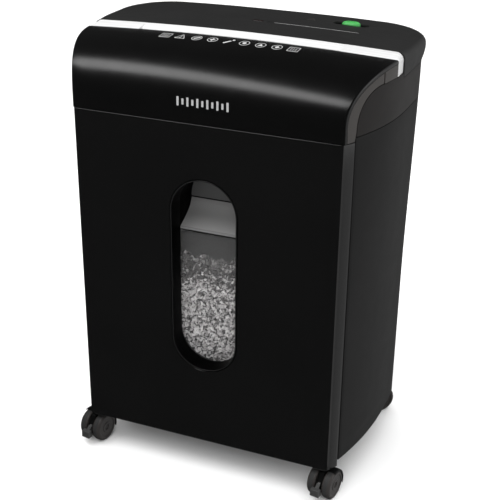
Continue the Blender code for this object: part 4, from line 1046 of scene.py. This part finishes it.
# ---------------------------------------------------------------- controls
def make_controls():
    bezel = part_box("switch_bezel")
    x, y = centre_of(bezel)
    top = bezel[1][2]
    rail = prism(capsule(x, y, 0.0120, 0.0022), "Z", top - 0.02, top + 0.01)
    plate = prism(capsule(x, y, half_length(bezel), 0.0059), "Z", bezel[0][2], top)
    # The switch dish is shineless black, painted shade in the recess round the knob.
    dish = carve(plate, [rail], bevel=0.0004)
    piece("switch_dish", dish, "gap_shadow_black", CABINET, ("switch_bezel",))

    knob_low, knob_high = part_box("slide_switch")
    surface = lid_height(x)
    mid = (knob_low[0] + knob_high[0]) / 2
    rings = []
    for z, long, wide in ((-0.0026, 0.0102, 0.0054), (0.0002, 0.0102, 0.0054), (0.0013, 0.0096, 0.0049),
                          (0.0021, 0.0085, 0.0041), (0.0027, 0.0068, 0.0030)):
        outline = capsule(mid, y, long, wide)
        rings.append([(a, b, surface + z) for a, b in outline])
    stem = cuboid(at(mid - 0.004, y - 0.0016, knob_low[2]), at(mid + 0.004, y + 0.0016, surface))
    ribs = []
    for k in range(-2, 3):
        rib = mid + 0.0019 * k
        low = at(rib - 0.00035, y - 0.0026, surface + 0.0020)
        ribs.append(cuboid(low, at(rib + 0.00035, y + 0.0026, surface + 0.0031)))
    knob = carve(capped(rings), [stem] + ribs, "UNION", bevel=0.0002, limit=40.0)
    piece("slider_knob", knob, "switch_green", "switch_knob", ("slide_switch",), smooth=35.0)

    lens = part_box("indicator_lens")
    x, y = centre_of(lens)
    rings = []
    for z, share in ((-0.0080, 1.0), (-0.0003, 1.0), (0.0001, 0.93), (0.0003, 0.80)):
        outline = capsule(x, y, half_length(lens) * share, 0.0023 * share)
        rings.append([(a, b, lid_height(x) + z) for a, b in outline])
    piece("status_lens", capped(rings), "dark_lens", CABINET, ("indicator_lens",))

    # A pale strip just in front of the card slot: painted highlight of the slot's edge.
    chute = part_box("card_chute")
    low = chute[0][0] + 0.0127
    high = chute[1][0] - 0.0032
    edge = crowned_strip(low, high, CARD_DEPTH - 0.00200, CARD_DEPTH - 0.00155, 0.00025)
    piece("card_slot_highlight", edge, "print_and_highlight_grey", CABINET)


def crowned_strip(low, high, near, far, proud):
    """Thin strip along X that follows the lid's crown."""
    across = [mix(low, high, k / 24) for k in range(25)]
    faces = [[[at(x, y, lid_height(x) + lift) for y in (near, far)] for x in across]
             for lift in (proud, -PRINT_DEPTH)]
    return closed_shell(*faces)


# ---------------------------------------------------------------- print
def printed(outlines, surface, proud):
    """Flat printed shapes, from closed outlines of (x, depth), laid over a surface."""
    shapes = []
    for outline in outlines:
        faces = [[at(x, y, surface(x, y) + lift) for x, y in outline] for lift in (proud, -PRINT_DEPTH)]
        shapes.append(capped(faces))
    return merged(shapes)


def bar(x0, y0, x1, y1, width):
    run = Vector((x1 - x0, y1 - y0)).normalized() * (width / 2)
    side = Vector((-run.y, run.x))
    return [(x0 + side.x, y0 + side.y), (x1 + side.x, y1 + side.y), (x1 - side.x, y1 - side.y),
            (x0 - side.x, y0 - side.y)]


def loop_bars(corners, width):
    """Lines round a closed outline."""
    return [bar(*a, *b, width) for a, b in zip(corners, corners[1:] + corners[:1])]


def rectangle(x, y, half_x, half_y):
    return [(x - half_x, y - half_y), (x + half_x, y - half_y), (x + half_x, y + half_y),
            (x - half_x, y + half_y)]


def pictogram(number, x, y):
    """Outlines of one sign: a ruled sheet, a triangle, a slanted bar with a dot, or a mark in a ring."""
    if number in (0, 8):
        rules = [bar(x + 0.0026 * k, y - 0.0028, x + 0.0026 * k, y + 0.0022, PRINT_LINE) for k in (-1, 0, 1)]
        return loop_bars(rectangle(x, y, 0.0056, 0.0044), PRINT_LINE) + rules
    if number == 1:
        sides = loop_bars([(x - 0.0055, y - 0.0040), (x + 0.0055, y - 0.0040), (x, y + 0.0048)], PRINT_LINE)
        return sides + [bar(x, y - 0.0010, x, y + 0.0022, PRINT_LINE), circle(0.0007, 8, (x, y - 0.0026))]
    if number == 4:
        slant = bar(x - 0.0034, y - 0.0046, x + 0.0022, y + 0.0016, 0.0020)
        return [slant, circle(0.0015, 10, (x + 0.0040, y + 0.0038))]
    marks = {
        2: [bar(x - 0.0026, y - 0.0018, x + 0.0030, y + 0.0018, 0.0022)],
        3: [bar(x - 0.0030, y, x + 0.0030, y, 0.0014), bar(x, y - 0.0030, x, y + 0.0030, 0.0014)],
        5: [circle(0.0022, 12, (x, y))],
        6: [[(x - 0.0028, y - 0.0020), (x + 0.0028, y - 0.0020), (x, y + 0.0028)]],
        7: [[(x - 0.0026, y), (x, y - 0.0026), (x + 0.0026, y), (x, y + 0.0026)]],
    }
    return loop_bars(circle(0.0052, 24, (x, y), 0.92), PRINT_LINE) + marks[number]


def make_print():
    """Nine plain signs in a row on the hood's top, a row of bars on its front, and a mark by the switch."""
    outlines = []
    for number in range(9):
        outlines += pictogram(number, -0.0720 + 0.0177 * number, PRINT_ROW)
    stretched = [[(x, mix(PRINT_ROW, y, PRINT_STRETCH)) for x, y in outline] for outline in outlines]
    signs = printed(stretched, hood_surface, PRINT_PROUD)
    piece("hood_pictograms", signs, "print_white", CABINET, smooth=20.0)

    bars = []
    for k in range(11):
        tall = 0.0030 if k % 2 else 0.0046
        outline = rectangle(-0.0270 + 0.0054 * k, 0.4376, 0.0011, tall)
        bars.append(prism(outline, "Y", FRONT_Y - PRINT_PROUD, FRONT_Y + 0.0004))
    piece("plain_emblem", merged(bars), "print_and_highlight_grey", CABINET, smooth=20.0)

    x, y = 0.0480, 0.1860
    triangle = loop_bars([(x - 0.0045, y - 0.0030), (x + 0.0045, y - 0.0030), (x, y + 0.0038)], 0.0007)
    mark = printed(triangle, lambda across, depth: lid_height(across), 0.0001)
    piece("lid_mark", mark, "shoulder_grey", CABINET, smooth=20.0)


# ---------------------------------------------------------------- casters
def polar(radius, degrees, centre=(0.0, 0.0)):
    angle = math.radians(degrees)
    return (centre[0] + radius * math.cos(angle), centre[1] + radius * math.sin(angle))


def placed(builder, origin, turn):
    """Moves a bmesh that was made round its wheel's axle to where the caster stands."""
    place = Matrix.Translation(origin) @ Matrix.Rotation(turn, 4, "Z")
    bmesh.ops.transform(builder, matrix=place, verts=builder.verts)
    return builder


def fender_rings(edge):
    """Arcs over the wheels, from (distance from the middle, drop) points that both sides share."""
    profile = [(-x, drop) for x, drop in edge] + [(0.0, edge[-1][1])] + edge[::-1]
    return [[(x, *polar(FENDER_RADIUS - drop, a)) for a in range(FENDER_FROM, 201, 4)] for x, drop in profile]


def wheel_profile(half, rim):
    """Half of a twin wheel's section, from the hub's middle out over the face and rim to the gap."""
    return [(-half + 0.0016, 0.0), (-half + 0.0016, 0.0030), (-half + 0.0004, 0.0036),
            (-half + 0.0002, 0.0060), (-half + 0.0009, 0.0068), (-half + 0.0009, 0.0118),
            (-half + 0.0002, 0.0126), (-half, 0.0140), (-half + 0.0004, rim - 0.0018),
            (-half + 0.0014, rim - 0.0006), (-half + 0.0028, rim), (-0.0064, rim), (-0.0052, rim - 0.0004),
            (-0.0044, rim - 0.0012), (-0.0042, 0.0110), (-0.0042, 0.0024)]


def make_caster(label, turn, brake):
    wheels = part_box(f"caster_wheels_{label}")
    axle = Vector(((wheels[0][0] + wheels[1][0]) / 2, (wheels[0][1] + wheels[1][1]) / 2, WHEEL_RADIUS))

    def caster_piece(name, builder, look, body, *replaces):
        replaced = [f"{node}_{label}" for node in replaces]
        made = placed(builder, axle, turn)
        piece(f"{name}_{label}", made, look, f"{body}_{label}", replaced, smooth=32.0)

    profile = wheel_profile(WHEELS_HALF, WHEEL_RADIUS)
    pair = lathe(profile + [(-along, radius) for along, radius in reversed(profile)], 64)
    caster_piece("wheel_pair", pair, "caster_nylon", "wheels", "caster_wheels")
    low = WHEEL_RADIUS - 0.0006
    high = WHEEL_RADIUS + TREAD_PROUD
    near = 0.0066
    far = WHEELS_HALF - 0.0030
    band = [(near, low), (near, high), (far, high), (far, low)]
    tread = merged([turned_ring([(side * along, radius) for along, radius in band], 64) for side in (-1, 1)])
    caster_piece("tread", tread, "caster_tread", "wheels")

    web = [polar(0.0178, a) for a in range(64, 191, 5)] + [polar(0.0135, a) for a in range(196, 416, 10)]
    hub_hole = prism(circle(0.0029, 24), "X", -0.01, 0.01)
    body = carve(prism(web, "X", -0.0034, 0.0034), [hub_hole], bevel=0.0003)
    outside = [(0.0148, 0.0026), (0.0146, 0.0010), (0.0136, 0.0002), (0.0100, 0.0)]
    inside = [(0.0144, 0.0028), (0.0142, 0.0016), (0.0132, 0.0009), (0.0100, 0.0008)]
    fender = closed_shell(fender_rings(outside), fender_rings(inside))
    bridge = [(-0.0160, 0.0178), (-0.0182, 0.0070), (-0.0080, 0.0060), (-0.0060, 0.0172)]
    neck = prism(bridge, "X", -0.0032, 0.0032)
    stem = prism(circle(0.0040, 24, STEM), "Z", 0.0162, 0.0320)
    collar = prism(circle(0.0070, 30, STEM), "Z", 0.0158, 0.0184)
    parts = [body, fender, rounded(neck, 0.0004, 2), stem, rounded(collar, 0.0004, 2)]
    caster_piece("caster_frame", merged(parts), "caster_black", "caster", "caster_housing")
    if brake:
        caster_piece("brake_pedal", brake_pedal(), "pedal_grey", "brake", "caster_brake")


def brake_pedal():
    """Brake lever: an arm with cross ribs out of the gap between the wheels, and a square pad on its end."""
    hinge = polar(0.0112, 20)
    tip = (0.0200, 0.0002)
    arm = [polar(0.0025, a, hinge) for a in range(40, 241, 20)] + [(0.0188, -0.0050), tip]
    pin_hole = prism(circle(0.0014, 12, hinge), "X", -0.005, 0.005)
    tongue = carve(prism(arm, "X", -0.0016, 0.0016), [pin_hole], bevel=0.0002)
    start = polar(0.0025, 40, hinge)
    ribs = []
    for k in range(5):
        share = 0.22 + 0.17 * k
        y = mix(start[0], tip[0], share)
        z = mix(start[1], tip[1], share)
        outline = [(y - 0.0005, z - 0.0006), (y + 0.0005, z - 0.0010), (y + 0.0006, z + 0.0001),
                   (y - 0.0003, z + 0.0006)]
        ribs.append(prism(outline, "X", -0.0021, 0.0021))
    outside = [(0.0181, -0.0061), (0.0185, 0.0021), (0.0235, 0.0015), (0.0239, -0.0065)]
    hollow = [(0.0233, -0.0051), (0.0231, 0.0003), (0.0260, 0.0005), (0.0260, -0.0052)]
    dish = prism(hollow, "X", -0.0042, 0.0042)
    block = carve(prism(outside, "X", -0.0054, 0.0054), [dish], bevel=0.0005, segments=3)
    bars = []
    for k in range(3):
        outline = rectangle(0.02335, -0.0041 + 0.0017 * k, 0.00035, 0.0003)
        bars.append(prism(outline, "X", -0.0036, 0.0036))
    return merged([tongue, block] + ribs + bars)


def make_casters():
    for side in ("right", "left"):
        make_caster(f"front_{side}", FRONT_TURN, True)
        make_caster(f"rear_{side}", REAR_TURN, False)


# ---------------------------------------------------------------- rear inlet
def make_inlet():
    low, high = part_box("cord_inlet")
    front = low[1]
    rear = high[1]
    profile = [(front, 0.0038), (front, 0.0079), (rear - 0.0026, 0.0079), (rear - 0.0025, 0.0105),
               (rear - 0.0018, 0.0110), (rear - 0.0006, 0.0108), (rear, 0.0098), (rear - 0.0002, 0.0046),
               (rear - 0.0012, 0.0038)]
    bush = turned_ring(profile, 48, ((low[0] + high[0]) / 2, (low[2] + high[2]) / 2), swap=True)
    piece("inlet_bush", bush, "satin_black", CABINET, ("cord_inlet",), smooth=35.0)


# ---------------------------------------------------------------- carried-over CAD nodes
def dress_nodes():
    slots = {entry["node"]: entry["material_slot"] for entry in frame["record"]["subparts"]}
    for name, node in NODES.items():
        look = LOOKS[slots[name]]
        if not node.material_slots:
            node.data.materials.append(look)
        for place in node.material_slots:
            place.material = look


# ---------------------------------------------------------------- stage
def make_floor():
    floor = bmesh.new()
    bmesh.ops.create_grid(floor, x_segments=1, y_segments=1, size=6.0)
    ground = add_object("floor", floor)
    look = Shader("floor_look")
    look.tint(look.noise(3.0, 2.0), grey(0.90), grey(0.93))
    look.put("Roughness", 0.9)
    look.put("Specular IOR Level", 0.1)
    ground.data.materials.append(look.material)
    ground.visible_glossy = False


def make_room():
    """Even light from all round, but a dark room with one pale side in what polished surfaces reflect."""
    world = bpy.data.worlds.new("studio")
    world.use_nodes = True
    tree = world.node_tree
    white = (1.0, 1.0, 1.0, 1.0)
    dim = tree.nodes["Background"]
    dim.inputs["Color"].default_value = white
    place = tree.nodes.new("ShaderNodeTexCoord")
    facing = add_node(tree, "ShaderNodeVectorMath", {1: BRIGHT_SIDE}, operation="DOT_PRODUCT")
    values = {"From Min": 0.30, "From Max": 0.95, "To Min": 0.035, "To Max": 0.55}
    ramp = add_node(tree, "ShaderNodeMapRange", values, interpolation_type="SMOOTHSTEP")
    tree.links.new(place.outputs["Generated"], facing.inputs[0])
    tree.links.new(facing.outputs["Value"], ramp.inputs["Value"])
    tree.links.new(ramp.outputs["Result"], dim.inputs["Strength"])
    path = tree.nodes.new("ShaderNodeLightPath")
    shader = dim.outputs["Background"]
    for ray, strength in (("Is Diffuse Ray", 0.30), ("Is Camera Ray", 1.1)):
        bright = add_node(tree, "ShaderNodeBackground", {"Color": white, "Strength": strength})
        blend = tree.nodes.new("ShaderNodeMixShader")
        tree.links.new(path.outputs[ray], blend.inputs["Fac"])
        tree.links.new(shader, blend.inputs[1])
        tree.links.new(bright.outputs["Background"], blend.inputs[2])
        shader = blend.outputs["Shader"]
    tree.links.new(shader, tree.nodes["World Output"].inputs["Surface"])
    bpy.context.scene.world = world


def area_light(name, position, target, size, power):
    data = bpy.data.lights.new(name, "AREA")
    data.shape = "RECTANGLE"
    data.size, data.size_y = size
    data.energy = power
    made = bpy.data.objects.new(name, data)
    aim = (Vector(target) - Vector(position)).to_track_quat("-Z", "Y")
    made.matrix_world = Matrix.Translation(position) @ aim.to_matrix().to_4x4()
    bpy.context.scene.collection.objects.link(made)
    return made


def make_lights():
    data = bpy.data.lights.new("ceiling", "SUN")
    data.energy = 3.5
    data.angle = math.radians(100.0)
    ceiling = bpy.data.objects.new("ceiling", data)
    ceiling.visible_glossy = False
    bpy.context.scene.collection.objects.link(ceiling)
    area_light("overhead_strip", (-0.46, -0.63, 1.43), (0.0, -0.09, 0.46), (1.3, 0.38), 7.4)
    area_light("right_box", (1.9, 0.35, 0.9), (0.1, 0.0, 0.25), (1.2, 1.6), 6.0)
    fill = area_light("front_fill", (0.45, -1.9, 1.25), (0.0, 0.0, 0.25), (1.2, 1.2), 13.0)
    fill.visible_glossy = False


def make_camera():
    data = bpy.data.cameras.new("camera")
    data.sensor_width = 36.0
    data.lens = CAMERA_LENS
    data.dof.use_dof = False
    data.clip_end = 30.0
    made = bpy.data.objects.new("camera", data)
    turn = Matrix.Rotation(CAMERA_TURN, 4, "Z")
    tilt = Matrix.Rotation(math.pi / 2 - CAMERA_DOWN, 4, "X")
    roll = Matrix.Rotation(CAMERA_ROLL, 4, "Z")
    made.matrix_world = Matrix.Translation(at(*CAMERA_SPOT)) @ turn @ tilt @ roll
    bpy.context.scene.collection.objects.link(made)
    bpy.context.scene.camera = made


make_camera()
make_floor()
make_room()
make_lights()
dress_nodes()
make_hood()
make_trim()
make_lid()
make_walls()
make_bin_front()
make_finger_pocket()
make_pane()
make_shreds()
make_controls()
make_print()
make_casters()
make_inlet()

bpy.context.scene.view_settings.view_transform = "Standard"
